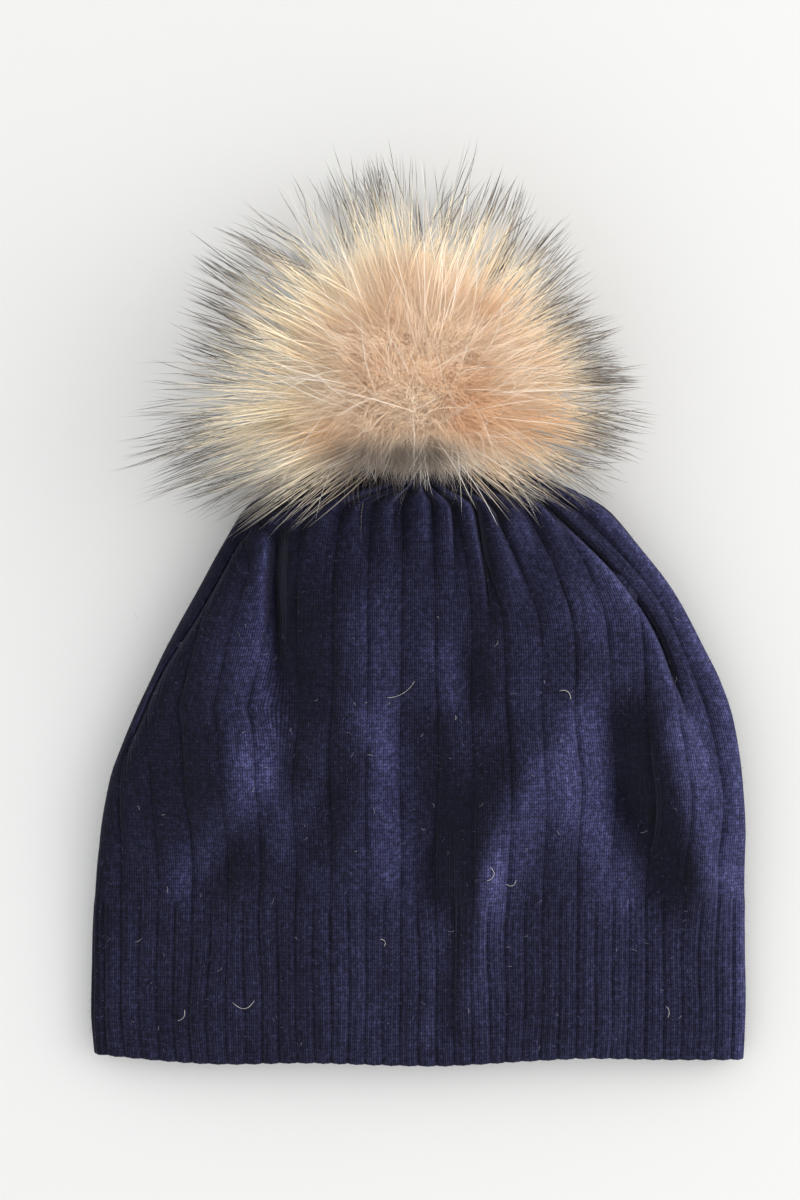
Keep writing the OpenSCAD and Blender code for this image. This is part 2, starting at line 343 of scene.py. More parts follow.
# Distance from the hem, and how far to the right and left the folds lie where the sides of the hat
# go in under its upper face
RIGHT_FOLD = [(70, 104.5), (84, 101.0), (104, 93.6), (128, 85.0), (146.6, 77.5), (163.5, 65.0),
              (180.4, 48.0), (194, 33.0), (206, 16.0)]
LEFT_FOLD = [(84, 104.0), (105, 97.5), (118, 91.5), (128, 87.0), (148, 74.5), (179, 56.0),
             (194, 38.0), (206, 20.0)]
# Where in the knit the strips beyond those folds start, and how far they lie below the upper face
RIGHT_STRIP, LEFT_STRIP = 92.0, 98.0
# Distances from the hem between which those folds and the tucks set in
RIGHT_ONSET, LEFT_ONSET = (66.0, 112.0), (62.0, 108.0)
STRIP_DROP = 4.5
# Distance from the hem, and the stretch of the knit across the upper face
STRETCH = [(0, 1.055), (84, 1.06), (125, 1.0), (206, 1.0)]

# Tucks in the upper face: where each lies in the knit, the distance from the hem at which it
# starts, how much knit it has taken up at the crown, its width, and its greatest depth
TUCKS = [
    (-44.0, 92.0, 19.0, 8.0, 7.5),
    (-66.0, 165.0, 3.0, 2.0, 2.0),
    (-21.0, 160.0, 5.0, 2.0, 2.6),
    (-8.0, 158.0, 5.0, 1.6, 2.8),
    (3.0, 150.0, 4.0, 1.4, 2.6),
    (11.5, 138.0, 6.0, 1.6, 3.4),
    (23.0, 126.0, 11.0, 2.0, 5.6),
    (38.0, 138.0, 6.0, 1.8, 3.4),
    (53.0, 150.0, 4.0, 1.8, 2.6),
]
# Soft hollows (negative) and ridges on the upper side: from and to, as (across, from the hem),
# then half the width and the height
SWELLS = [
    (-47, 95, -73, 60, 6.5, -3.6),
    (-66, 100, -60, 84, 8, 2.0),
    (-28, 100, -40, 74, 6, -2.4),
    (-62, 92, -72, 140, 12, 2.2),
    (62, 114, 66, 88, 9, -5.5),
    (66, 88, 77, 58, 8, -3.4),
    (80, 110, 94, 62, 7, 4.0),
    (-6, 110, 2, 64, 9, -4.4),
    (34, 98, 15, 58, 7, 4.0),
    (-46, 150, -47, 104, 7, -2.0),
    (27, 178, 29, 150, 5, 1.6),
    (20, 60, 12, 20, 6, 2.0),
    (46, 146, 52, 110, 10, 2.6),
    (46, 134, 44, 126, 7, -2.6),
    (14, 136, 16, 124, 5, -2.6),
    (-26, 150, -18, 104, 9, 2.6),
    (8, 12, 12, 56, 3.5, -1.8),
    (-95, 60, -88, 20, 10, -1.2),
    (-36, 40, -30, 12, 10, 1.2),
    (50, 44, 56, 12, 10, 1.0),
]


def slab_outline(half_w, half_h, mid_x, count=721):
    """The flattened tube's outline from its right edge, over the top to the left, and back under."""
    t = np.linspace(0.0, 2 * math.pi, count)
    bulge = np.abs(np.sin(t)) ** 0.62
    high = np.where(t <= math.pi, bulge, -np.minimum(1.0, 1.3 * bulge))
    return mid_x + half_w * np.cos(t), half_h * (1.0 + high), t


def swell_heights(x, t):
    total = np.zeros_like(x)
    for x0, t0, x1, t1, width, height in SWELLS:
        dx, dt = x1 - x0, t1 - t0
        along = np.clip(((x - x0) * dx + (t - t0) * dt) / (dx * dx + dt * dt), 0, 1)
        gap2 = (x - x0 - along * dx) ** 2 + (t - t0 - along * dt) ** 2
        total += 1.35 * height * np.exp(-gap2 / (2 * width * width))
    return total


def side_of_row(t, sign, arc_at, edge_q):
    """Half of one row's upper side, from the middle outwards: matching places in the knit and on
    the outline, and the tucks met on the way as (from, to, depth)."""
    rate = float(through(STRETCH, t))
    fold = RIGHT_FOLD if sign > 0 else LEFT_FOLD
    strip = RIGHT_STRIP if sign > 0 else LEFT_STRIP
    limit = float(through(fold, t))
    q, x = 0.0, 0.0
    knots, tucks = [(0.0, arc_at(0.0))], []
    own = sorted((abs(place), start, amount, width, depth)
                 for place, start, amount, width, depth in TUCKS if place * sign > 0)
    for place, start, amount, width, depth in own:
        at = x + (place - q) * rate
        taken = amount * float(smooth_step(start, 200, t) * smooth_step(0.0, 14.0, limit - at - width))
        if taken < 0.01:
            continue
        width = width * min(1.0, taken / 3.0)
        knots += [(sign * place, arc_at(sign * at)), (sign * (place + taken), arc_at(sign * (at + width)))]
        tucks.append((place, place + taken, min(depth, 0.5 * taken)))
        q, x = place + taken, at + width
    inner = min(q + (limit - x) / rate, strip - 0.3)
    width = 1.6 * min(1.0, (strip - inner) / 3.0)
    knots += [(sign * inner, arc_at(sign * limit)), (sign * strip, arc_at(sign * (limit + width)))]
    tucks.append((inner, strip, min(6.5, 0.5 * (strip - inner))))
    knots.append((sign * edge_q, arc_at(None)))
    return knots, tucks


def hat_row(t):
    """One row before ribs: how far round its outline each column lies, the outline, and how far
    each column is dipped into a tuck. Columns run from the right edge, over the top, and under."""
    left, right = through(LEFT_EDGE, t), through(RIGHT_EDGE, t)
    half_h = through(FULLNESS, t) / 2
    ox, oz, angle = slab_outline((left + right) / 2, half_h, (right - left) / 2)
    arc = np.concatenate([[0], np.cumsum(np.hypot(np.diff(ox), np.diff(oz)))])
    top_len = np.interp(math.pi, angle, arc)
    half = HALF_GIRTH / 2
    upper = angle <= math.pi

    def arc_at(x, end=0.0):
        return end if x is None else float(np.interp(-x, -ox[upper], arc[upper]))

    right_knots, right_tucks = side_of_row(t, 1, arc_at, half)
    left_knots, left_tucks = side_of_row(t, -1, lambda x: arc_at(x, top_len), half)
    knots = np.array(sorted(right_knots[1:] + left_knots, key=lambda k: -k[0]))
    q = half - np.arange(COLUMNS) / COLUMNS * GIRTH
    top = q > -half
    folded = np.where(q > 0, smooth_step(*RIGHT_ONSET, t), smooth_step(*LEFT_ONSET, t))
    s_plain = np.interp(-q, [-half, 0.0, half], [0.0, arc_at(0.0), top_len])
    s_top = folded * np.interp(-q, -knots[:, 0], knots[:, 1]) + (1 - folded) * s_plain
    s_under = top_len + (-half - q) / HALF_GIRTH * (arc[-1] - top_len)
    dip = np.zeros(COLUMNS)
    for sign, tucks in ((1, right_tucks), (-1, left_tucks)):
        for low, high, depth in tucks:
            tau = np.clip((sign * q - low) / (high - low), 0, 1)
            dip += np.where(top, folded * depth * (1 - np.abs(2 * tau - 1) ** 1.6), 0.0)
    return np.where(top, s_top, s_under), arc, ox, oz, dip


def knit_relief(column, t):
    """Height of ribs and wales above the knit's mean face, in millimetres."""
    wale = column / PER_WALE
    body_phase = (wale % BODY_RIB) - BODY_RIB / 2
    brim_phase = (wale % BRIM_RIB) - BRIM_RIB / 2
    uneven = 0.8 + 0.4 * np.sin(t / 13.0 + 2.4 * np.round(wale / BRIM_RIB)) \
        * np.sin(t / 5.3 + 5.1 * np.round(wale / BRIM_RIB)) + 0.2 * np.sin(7.7 * np.round(wale / BRIM_RIB))
    body = -0.58 * uneven * np.exp(-((BODY_RIB / 2 - np.abs(body_phase)) / 0.62) ** 2) \
        + 0.10 * np.cos(body_phase / BODY_RIB * 2 * math.pi)
    brim = -0.36 * uneven * np.exp(-((BRIM_RIB / 2 - np.abs(brim_phase)) / 0.55) ** 2) \
        + 0.08 * np.cos(brim_phase / BRIM_RIB * 2 * math.pi)
    mix = smooth_step(BRIM_LEN - 3.0, BRIM_LEN + 3.0, t)
    # Three ridges fill each brim rib evenly, as the photo shows; the purl column is taken to be sunk
    brim = brim - 0.20 * np.cos(3 * wale / BRIM_RIB * 2 * math.pi)
    body = body - 0.12 * np.cos(wale * 2 * math.pi)
    return (1 - mix) * brim + mix * body


def grid_normals(p):
    across = np.roll(p, -1, 1) - np.roll(p, 1, 1)
    along = np.gradient(p, axis=0)
    return unit(np.cross(along, across))


def crown_circle(t):
    """Rings round the pom's axis, which the knit joins near the crown."""
    angle = (2 * math.pi * np.arange(COLUMNS) / COLUMNS)[None, :] + 0 * t
    away = np.maximum(HAT_LEN + 1 - t, 0)
    radius = 11.6 + 0.95 * away
    return crown_place(0.0, 0.0, -1.4 - 0.55 * away) \
        + (radius * np.cos(angle))[..., None] * ACROSS \
        + (radius * np.sin(angle))[..., None] * UPHILL


def outer_surface(rows_t):
    """The knit's outer face, its mean face without ribs, the mean face's normals, how deep each point lies
    in a groove or tuck for painted shade, and painted light that makes slopes facing the lamp lighter.
    """
    rows = [hat_row(float(t)) for t in rows_t]
    s = np.array([row[0] for row in rows])
    turn = np.array([row[1][-1] for row in rows])[:, None]
    ramp = np.arange(COLUMNS)[None, :] / COLUMNS
    s = blurred(s - ramp * turn, 3.0) + ramp * turn
    lie = 2 * math.pi * ramp
    round_place = GIRTH / (2 * math.pi) * np.stack([np.cos(lie), np.sin(lie)], -1) + 0 * s[..., None]
    s += WOBBLE * ripples(np.concatenate([round_place, 0.6 * rows_t[:, None, None] + 0 * s[..., None]], -1),
                          26.0, 21)
    dip = blurred(np.array([row[4] for row in rows]), 3.0)
    x, z = np.zeros_like(s), np.zeros_like(s)
    for i, (_, arc, ox, oz, _) in enumerate(rows):
        x[i] = np.interp(s[i] % arc[-1], arc, ox)
        z[i] = np.interp(s[i] % arc[-1], arc, oz)
    t = np.asarray(rows_t)[:, None] + 0 * x
    share_up = z / through(FULLNESS, t)
    swell = swell_heights(x, t) * smooth_step(0.35, 0.8, share_up)
    beyond = np.maximum(smooth_step(-1.5, 2.5, x - through(RIGHT_FOLD, t)),
                        smooth_step(-1.5, 2.5, -x - through(LEFT_FOLD, t)))
    swell -= STRIP_DROP * beyond * smooth_step(84, 130, t) * np.clip(share_up * 2 - 1, 0, 1)
    y = HEM_Y + t - through(HEM_CURVE, x) * (1 - smooth_step(0, 25, t))
    flat = np.stack([x, y, z + swell + LYING], -1)
    mix = smooth_step(184, HAT_LEN + 2, t)[..., None]
    base = flat * (1 - mix) + crown_circle(t) * mix
    normal = grid_normals(base)
    column = np.arange(COLUMNS)[None, :] + 0 * t
    spacing = np.linalg.norm(np.roll(base, -1, 1) - base, axis=-1)
    spread = np.clip(spacing / (GIRTH / COLUMNS), 0, 1)
    pleat = -1.0 * smooth_step(160, 200, t) * np.cos(column / PER_WALE / BODY_RIB * 2 * math.pi)
    relief = knit_relief(column, t) * (0.35 + 0.65 * spread) + pleat
    sink = dip * smooth_step(0.2, 0.6, share_up) * (1 - smooth_step(197, 206, t))
    mean = base.copy()
    mean[..., 2] -= sink
    out = mean + normal * relief[..., None]
    out[..., 2] = np.maximum(out[..., 2], 0.05)
    # Painted light: slopes that face the lamp at the right are made lighter in the knit's colour, and
    # slopes facing away darker.
    lie = grid_normals(blurred(mean, 8.0))
    ribbed = grid_normals(blurred(out, 1.6))
    slope = 2.3 * lie[..., 0] + 0.9 * (ribbed - lie)[..., 0]
    painted_light = np.exp(np.clip(slope - 0.06, -1.2, 1.1) * (lie[..., 2] > 0))
    return out, mean, normal, relief - 0.35 * sink, painted_light


brim_t = np.linspace(0.8, BRIM_LEN, 44)
body_t = np.concatenate([np.linspace(BRIM_LEN, 150, 38)[1:], np.linspace(150, HAT_LEN, 28)[1:]])
all_t = np.concatenate([brim_t, body_t])
outer, mean_face, face_normal, hollow, painted_light = outer_surface(all_t)
COARSE = 4
inner = (mean_face - face_normal * PLY)[:, ::COARSE]
inner[..., 2] = np.maximum(inner[..., 2], LYING + 0.3)


class Shell:
    """Rings of points, all with a whole number of coarse columns, joined into one closed mesh."""

    def __init__(self):
        self.points, self.corners = [], []
        self.knit, self.bake, self.hollow, self.painted_light = [], [], [], []
        self.count = 0
        self.last = None

    def ring(self, points, course, band, hollow=0.0, painted_light=1.0):
        """Adds a ring and joins it to the one before. course is its stitch row, band its place up
        the baked picture."""
        n = len(points)
        start = self.count
        self.points.append(points)
        self.hollow.append(np.broadcast_to(hollow, (n,)))
        self.painted_light.append(np.broadcast_to(painted_light, (n,)))
        self.count += n
        here = (start, n, course, band)
        if self.last is not None:
            self.join(self.last, here)
        self.last = here
        if not hasattr(self, "first"):
            self.first = here
        return here

    def join(self, low, high):
        """Faces between two rings; either one may be coarser than the other."""
        (a, na, ca, ba), (b, nb, cb, bb) = low, high
        step = min(na, nb)
        ra, rb = na // step, nb // step
        i = np.arange(step)
        down = [(a + (i * ra + k) % na, (i * ra + k) / na, ca, ba) for k in range(ra + 1)]
        up = [(b + (i * rb + k) % nb, (i * rb + k) / nb, cb, bb) for k in range(rb, -1, -1)]
        face = down + up
        self.corners.append(np.stack([f[0] for f in face], 1))
        self.knit.append(np.stack([np.stack([f[1] * WALES, f[2] + 0 * f[1]], 1)
                                   for f in face], 1))
        self.bake.append(np.stack([np.stack([f[1], f[3] + 0 * f[1]], 1)
                                   for f in face], 1))

    def close(self):
        self.join(self.last, self.first)

    def make(self, name):
        points = np.concatenate(self.points)
        volume = 0.0
        for face in self.corners:
            for k in range(1, face.shape[1] - 1):
                a, b, c = points[face[:, 0]], points[face[:, k]], points[face[:, k + 1]]
                volume += (a * np.cross(b, c)).sum()
        way = 1 if volume > 0 else -1
        obj = new_mesh(name, points, np.concatenate([f[:, ::way].ravel() for f in self.corners]),
                       np.concatenate([np.full(len(f), f.shape[1]) for f in self.corners]))
        give_uv(obj, "OFBake", np.concatenate([f[:, ::way].reshape(-1, 2) for f in self.bake]))
        give_uv(obj, "knit", np.concatenate([f[:, ::way].reshape(-1, 2) for f in self.knit]))
        give_values(obj, "hollow", np.concatenate(self.hollow))
        give_values(obj, "painted_light", np.concatenate(self.painted_light))
        pairs = np.empty(2 * len(obj.data.edges), np.int32)
        obj.data.edges.foreach_get("vertices", pairs)
        pairs = pairs.reshape(-1, 2)
        sharp = np.zeros(len(pairs), bool)
        for start, count, _, _ in (self.first, self.last):
            sharp |= ((pairs >= start) & (pairs < start + count)).all(1)
        obj.data.attributes.new("sharp_edge", "BOOLEAN", "EDGE").data.foreach_set("value", sharp)
        return obj


def add_rings(shell, rows, places, bands, outside):
    """Adds rows of the knit's grid to a shell, from its outer or its inner face."""
    for r, band in zip(rows, bands):
        if outside:
            shell.ring(places[r], all_t[r] / COURSE, band, hollow[r], painted_light[r])
        else:
            shell.ring(places[r], all_t[r] / COURSE, band)


# Brim: inside face from the body to the hem, round the hem, and up the outside
last_brim = len(brim_t) - 1
brim = Shell()
rows = list(range(last_brim, 0, -2)) + [0]
add_rings(brim, rows, inner, np.linspace(0.0, 0.34, len(rows)), False)
hem = outer[0]
hem_in = face_normal[0]
ribbed = np.cos(np.arange(COLUMNS) / PER_WALE / BRIM_RIB * 2 * math.pi)[:, None] * [0, 0.10, 0]
for inset, drop, band in ((2.0, 0.55, 0.35), (1.2, 0.85, 0.36), (0.45, 0.6, 0.37)):
    brim.ring(hem - hem_in * inset + ribbed - [0, drop, 0], 0.3, band, -0.2, painted_light[0])
rows = list(range(last_brim + 1))
add_rings(brim, rows, outer, np.linspace(0.38, 1.0, len(rows)), True)
brim.close()
rib_brim = brim.make("rib_brim_knit")

# Body: inside face from the brim to the crown, through the small hole there, and back outside
HOLE_R = 2.6
angle = 2 * math.pi * np.arange(COLUMNS) / COLUMNS
round_ring = np.cos(angle)[:, None] * ACROSS + np.sin(angle)[:, None] * UPHILL
body = Shell()
rows = list(range(last_brim, len(all_t), 2))
add_rings(body, rows, inner, np.linspace(0.0, 0.3, len(rows)), False)
for radius, along in ((10.5, -PLY - 0.2), (6.0, -PLY - 0.1), (HOLE_R, -PLY - 0.1)):
    ring = crown_place(0.0, 0.0, along) + radius * round_ring[::COARSE]
    body.ring(ring, HAT_LEN / COURSE, 0.31)
fold_ring = np.cos(np.arange(COLUMNS) / PER_WALE / BODY_RIB * 2 * math.pi)
profile = ((HOLE_R, -1.2, 0.0), (HOLE_R + 0.4, -0.25, 0.0), (4.5, -0.12, 0.04), (6.6, -0.18, 0.06),
           (8.2, -0.5, 0.25), (9.8, -0.9, 0.45), (11.2, -0.75, 0.6), (12.6, -1.2, 0.8))
for i, (radius, along, depth) in enumerate(profile):
    place = crown_place(0.0, 0.0, along) + radius * round_ring
    fold = (fold_ring + 1) / 2 * depth
    body.ring(place - fold[:, None] * AXIS, (HAT_LEN + 13 - radius) / COURSE, 0.33 + 0.006 * i,
              -fold)
rows = list(range(len(all_t) - 1, last_brim - 1, -1))
add_rings(body, rows, outer, np.linspace(0.4, 1.0, len(rows)), True)
body.close()
knit_body = body.make("knit_body_knit")


# ---- Knit looks ---------------------------------------------------------------------------------

def knit_look():
    look = Nodes("navy_knit")
    place = look.place()
    uv = look.add("ShaderNodeUVMap", uv_map="knit").outputs[0]
    parts = look.add("ShaderNodeSeparateXYZ")
    look.join(uv, parts.inputs[0])
    wale, course = parts.outputs[0], parts.outputs[1]
    side = look.math("ABSOLUTE", look.math("SUBTRACT", look.math("MULTIPLY", look.math(
        "FRACT", wale), 2.0), 1.0))
    slant = look.math("FRACT", look.math("ADD", course, look.math("MULTIPLY", side, 0.55)))
    leg = look.math("SINE", look.math("MULTIPLY", side, math.pi))
    row = look.math("SINE", look.math("MULTIPLY", slant, math.pi))
    stitch = look.math("MULTIPLY", look.math("POWER", leg, 0.7, clamp=True),
                       look.math("POWER", row, 0.4, clamp=True))
    fluff = look.noise(place, 1500.0, 3.0, 0.7)
    strand = look.noise(place, 5200.0, 2.0, 0.6)
    height = look.math("ADD", look.math("MULTIPLY", stitch, 0.65),
                       look.math("ADD", look.math("MULTIPLY", fluff, 0.75),
                                 look.math("MULTIPLY", strand, 0.25)))
    look.bump(height, 0.32, 0.8)
    # Painted shade: the gaps between the stitches' legs go near black, and the legs' tops take the yarn's
    # navy.
    low, high = srgb(6, 6, 15), srgb(43, 44, 72)
    base = look.mix(look.math("ADD", look.math("MULTIPLY", stitch, 0.62),
                              look.math("MULTIPLY", leg, 0.02)), low, high)
    fleck = look.ramp(look.noise(place, 620.0, 4.0, 0.85), [(0.34, (0.4, 0.4, 0.42)),
                                                             (0.5, (0.9, 0.9, 0.91)),
                                                             (0.64, (2.1, 2.1, 2.0))])
    base = look.mix(1.0, base, fleck, "MULTIPLY")
    lines = look.add("ShaderNodeCombineXYZ")
    look.join(look.math("FLOOR", wale), lines.inputs[0])
    look.join(look.math("MULTIPLY", course, 0.07), lines.inputs[1])
    yarn = look.ramp(look.noise(lines.outputs[0], 0.83, 3.0, 0.7), [(0.3, (0.78, 0.78, 0.8)),
                                                                  (0.7, (1.24, 1.24, 1.2))])
    base = look.mix(1.0, base, yarn, "MULTIPLY")
    patch = look.ramp(look.noise(place, 34.0, 3.0, 0.6), [(0.3, (0.74, 0.74, 0.77)),
                                                           (0.7, (1.26, 1.26, 1.22))])
    base = look.mix(1.0, base, patch, "MULTIPLY")
    # Painted shade: the knit is darkened in its rib grooves, its tucks, the hem's turn and the crown's
    # gathered folds.
    painted_groove_shade = look.ramp(look.math("ADD", look.math("MULTIPLY", look.value("hollow"), 0.5), 0.75),
                     [(0.0, (0.25, 0.24, 0.28)), (0.45, (0.55, 0.54, 0.58)), (0.8, (1.0, 1.0, 1.0))])
    base = look.mix(1.0, base, painted_groove_shade, "MULTIPLY")
    # Painted light: the colour is lighter on slopes facing the lamp at the right, darker on those facing
    # away.
    painted_light_colour = look.add("ShaderNodeCombineColor")
    for socket in painted_light_colour.inputs[:3]:
        look.join(look.value("painted_light"), socket)
    base = look.mix(1.0, base, painted_light_colour.outputs[0], "MULTIPLY")
    look.colour(base)
    look.set(Roughness=0.95, Sheen_Weight=0.12, Sheen_Roughness=0.4,
             Sheen_Tint=(0.55, 0.55, 0.8, 1.0), Specular_IOR_Level=0.12)
    return look.material


navy_knit = knit_look()
wear(rib_brim, navy_knit, "hat")
wear(knit_body, navy_knit, "hat")
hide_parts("rib_brim")
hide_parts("knit_body")


# ---- Strands --------------------------------------------------------------------------------------

def strand_mesh(name, lines, widths, values):
    """Thin three-sided tapering hairs along lines (hair, step, xyz), as one mesh of closed tubes.
    widths and each of the named values are given at every step of every hair."""
    count, steps, _ = lines.shape
    way = unit(np.gradient(lines, axis=1))
    ref = unit(rng.normal(size=(count, 1, 3)))
    side = unit(np.cross(way, ref))
    other = np.cross(side, way)
    turns = 2 * math.pi * np.arange(3) / 3
    ring = lines[:, :-1, None] + widths[:, :-1, None, None] / 2 * (
        np.cos(turns)[:, None] * side[:, :-1, None] + np.sin(turns)[:, None] * other[:, :-1, None])
    tip = lines[:, -1:]
    points = np.concatenate([ring.reshape(count, -1, 3), tip], 1)
    each = points.shape[1]
    quads, quad_uv = [], []
    for k in range(steps - 2):
        for i in range(3):
            j = (i + 1) % 3
            quads.append([3 * k + i, 3 * k + j, 3 * k + 3 + j, 3 * k + 3 + i])
            quad_uv.append([(i, k), (i + 1, k), (i + 1, k + 1), (i, k + 1)])
    last = 3 * (steps - 2)
    ends = [[last + i, last + (i + 1) % 3, each - 1] for i in range(3)] + [[2, 1, 0]]
    end_uv = [[(i, steps - 2), (i + 1, steps - 2), (i + 0.5, steps - 1)] for i in range(3)]
    end_uv.append([(2, 0), (1, 0), (0, 0)])
    own = np.array([n for face in quads + ends for n in face])
    corners = (own[None, :] + each * np.arange(count)[:, None]).ravel()
    sizes = np.tile([4] * len(quads) + [3] * len(ends), count)
    obj = new_mesh(name, points.reshape(-1, 3), corners, sizes)
    grid = math.ceil(math.sqrt(count))
    cell = np.stack([np.arange(count) % grid, np.arange(count) // grid], -1)[:, None]
    inside = np.array([uv for face in quad_uv + end_uv for uv in face], float)
    inside = 0.1 + 0.8 * inside / [3.0, steps - 1.0]
    give_uv(obj, "OFBake", ((cell + inside[None]) / grid).reshape(-1, 2))
    for key, value in values.items():
        value = np.broadcast_to(value, (count, steps))
        give_values(obj, key, np.concatenate([np.repeat(value[:, :-1], 3, 1), value[:, -1:]], 1))
    return obj


DISC_R, DISC_TOP = 14.0, 7.0    # the fur's base disc, with a little room round it


def height_map():
    """The height of the hat's upper face and the fur's base disc over a grid of places, for hair to
    lie on."""
    low, cell, shape = np.array([-125.0, HEM_Y - 5]), 2.5, (101, 90)
    grid = np.zeros(shape)
    across, up = np.meshgrid(np.linspace(-DISC_R, DISC_R, 60), np.linspace(-DISC_R, DISC_R, 60))
    inside = np.hypot(across, up) <= DISC_R
    disc = crown_place(across[inside], up[inside], np.full(inside.sum(), DISC_TOP))
    flat = np.concatenate([outer.reshape(-1, 3), disc])
    place = ((flat[:, :2] - low) / cell).astype(int)
    np.maximum.at(grid, (place[:, 0], place[:, 1]), flat[:, 2])
    return grid, low, cell


HAT_TOP, HAT_LOW, HAT_CELL = height_map()


def resting(points):
    """The height that hair lies at over each place: the hat's upper face, or the table."""
    place = ((points[:, :2] - HAT_LOW) / HAT_CELL).astype(int)
    ok = ((place >= 0) & (place < HAT_TOP.shape)).all(1)
    place = np.clip(place, 0, np.array(HAT_TOP.shape) - 1)
    return np.where(ok, HAT_TOP[place[:, 0], place[:, 1]], 0.0)


FAR_Y, FAR_Z = 161.0, 110.5     # the farthest that any hair may reach along the frame, and up


def drawn_in(lines):
    """Shortens each hair that would reach too far."""
    root = lines[:, :1]
    share = np.ones(len(lines))
    for k, far in ((1, FAR_Y), (2, FAR_Z)):
        reach = lines[..., k].max(1) - root[:, 0, k]
        share = np.minimum(share, (far - root[:, 0, k]) / np.maximum(reach, 1.0))
    return root + (lines - root) * share[:, None, None]


def grow(roots, way, length, steps, droop, curl, floor=0.8):
    """Lines of hairs that bend under their own weight and come to lie on the hat or the table."""
    lines = [roots]
    turn = unit(rng.normal(size=roots.shape)) * curl[:, None]
    for _ in range(1, steps):
        bend = turn + rng.normal(size=roots.shape) * 0.25 * curl[:, None]
        way = unit(way + (bend - np.outer(droop, [0, 0, 1.0])) / (steps - 1))
        point = lines[-1] + way * (length / (steps - 1))[:, None]
        level = resting(point)
        above = lines[-1][:, 2] > level - 4.0
        level = np.where(above, level, 0.0) + floor
        low = point[:, 2] < level
        point[low, 2] = level[low]
        way[low, 2] = np.maximum(way[low, 2], 0.0)
        way = unit(way)
        lines.append(point)
    return drawn_in(np.stack(lines, 1))


def clumped(lines, lead, strength, bend=1.4):
    """Draws each hair towards the nearest of some leading hairs, more at its tip."""
    tips = lines[:, -1]
    leads = lines[lead]
    goal = leads[:, -1]
    near = np.empty(len(lines), int)
    for i in range(0, len(lines), 2000):
        gap = tips[i:i + 2000, None] - goal[None]
        near[i:i + 2000] = (gap ** 2).sum(-1).argmin(1)
    share = np.linspace(0, 1, lines.shape[1]) ** bend
    share = strength[:, None, None] * share[None, :, None]
    return lines * (1 - share) + leads[near] * share, near


# ---- Fur ------------------------------------------------------------------------------------------

FUR_FOOT = crown_place(0.0, 0.0, 12.5)
LEAN_FOOT = crown_place(0.0, 5.0, 10.0)
MOUTH = 0.36          # the pelt's mouth, as the share of its radius that has no hair


# How far the dense fur reaches across the table from its foot, by direction in degrees
# anticlockwise from the hat's right, and how far it reaches up
REACH_ROUND = [(-180, 64), (-166, 60), (-157, 43), (-147, 33), (-132, 25), (-90, 19), (-48, 25),
               (-30, 37), (-16, 43), (-4, 45), (10, 44), (26, 41), (42, 42), (58, 49), (86, 61),
               (110, 64), (131, 61), (144, 54), (157, 48), (171, 57), (180, 64)]
REACH_UP = 62.0


def envelope(way):
    """How far the dense fur reaches from its foot in each direction."""
    flat = np.hypot(way[..., 0], way[..., 1])
    reach = through(REACH_ROUND, np.degrees(np.arctan2(way[..., 1], way[..., 0])))
    return 1 / np.sqrt((flat / reach) ** 2 + (way[..., 2] / REACH_UP) ** 2)


def pelt_roots(count):
    """Random places on the pelt ball, off its mouth, and the outward direction at each."""
    way = unit(rng.normal(size=(count * 2, 3)))
    along = way @ AXIS
    across = np.sqrt(1 - along ** 2)
    way = way[(along > 0) | (across > MOUTH)][:count]
    return PELT_MID + way * (PELT_R - 0.6), way


def start_way(roots, normal, lean):
    """The way that hair leaves the pelt: away from the pom's foot, and swept down on its upper side."""
    lean = lean + (0.95 - lean) * smooth_step(0.1, 0.6, normal[:, 2:3])
    foot = LEAN_FOOT + np.outer(13.0 * smooth_step(3.0, 16.0, np.abs(roots[:, 0])), [0, 1.0, 0])
    way = unit(normal * (1 - lean) + unit(roots - foot) * lean)
    press = rng.uniform(0.1, 0.6, len(roots))
    way[:, 2] *= 1 - press * smooth_step(0.0, 0.7, way[:, 2])
    return unit(way)


def swirled(way, roots, amount, size, seed):
    """Turns neighbouring hairs together, so that the fur lies in tufts and whorls."""
    turn = np.stack([ripples(roots, size, seed + k) for k in range(3)], -1)
    return unit(way + amount * turn)


FOOT_SIDE = 9.0       # how far left of the middle the fur's grey foot, partly painted shadow, lies


def foot_grey_and_shadow(points):
    """How grey the fur is at its foot, where it comes out over the crown: partly the fur's own grey-brown
    down, partly painted shadow where the fur meets the crown.
    """
    ragged = points[..., 1] + 1.6 * ripples(points, 7.0, 77)
    shade = np.exp(-((points[..., 0] + FOOT_SIDE) / 26) ** 4) * smooth_step(65.0, 57.5, ragged)
    return shade * (0.65 + 0.35 * smooth_step(34.0, 50.0, points[..., 2]))


# Places in the fur that are browner or paler than the rest: across, from the middle of the frame,
# their width and height, and how much
BROWNER = [(37, 66, 17, 11, 1.0), (18, 75, 11, 10, 0.85), (-30, 63, 15, 7, 0.9), (-7, 112, 10, 11, 0.65),
           (20, 104, 13, 11, 0.6), (-22, 96, 12, 10, 0.4), (14, 66, 8, 6, 0.5), (40, 86, 9, 12, 0.35)]
PALER = [(-8, 84, 13, 10, 1.0), (5, 78, 8, 12, 0.8), (8, 118, 14, 8, 0.5), (-2, 64, 9, 5, 0.4)]

DARKER = [(-54, 65, 16, 14, 1.0), (44, 62, 14, 10, 0.5), (-44, 88, 12, 10, 0.4)]


def patches(points, places):
    """The sum of soft oval spots at the given places."""
    return sum(much * np.exp(-((points[..., 0] - x) / wide) ** 2 - ((points[..., 1] - y) / high) ** 2)
               for x, y, wide, high, much in places)


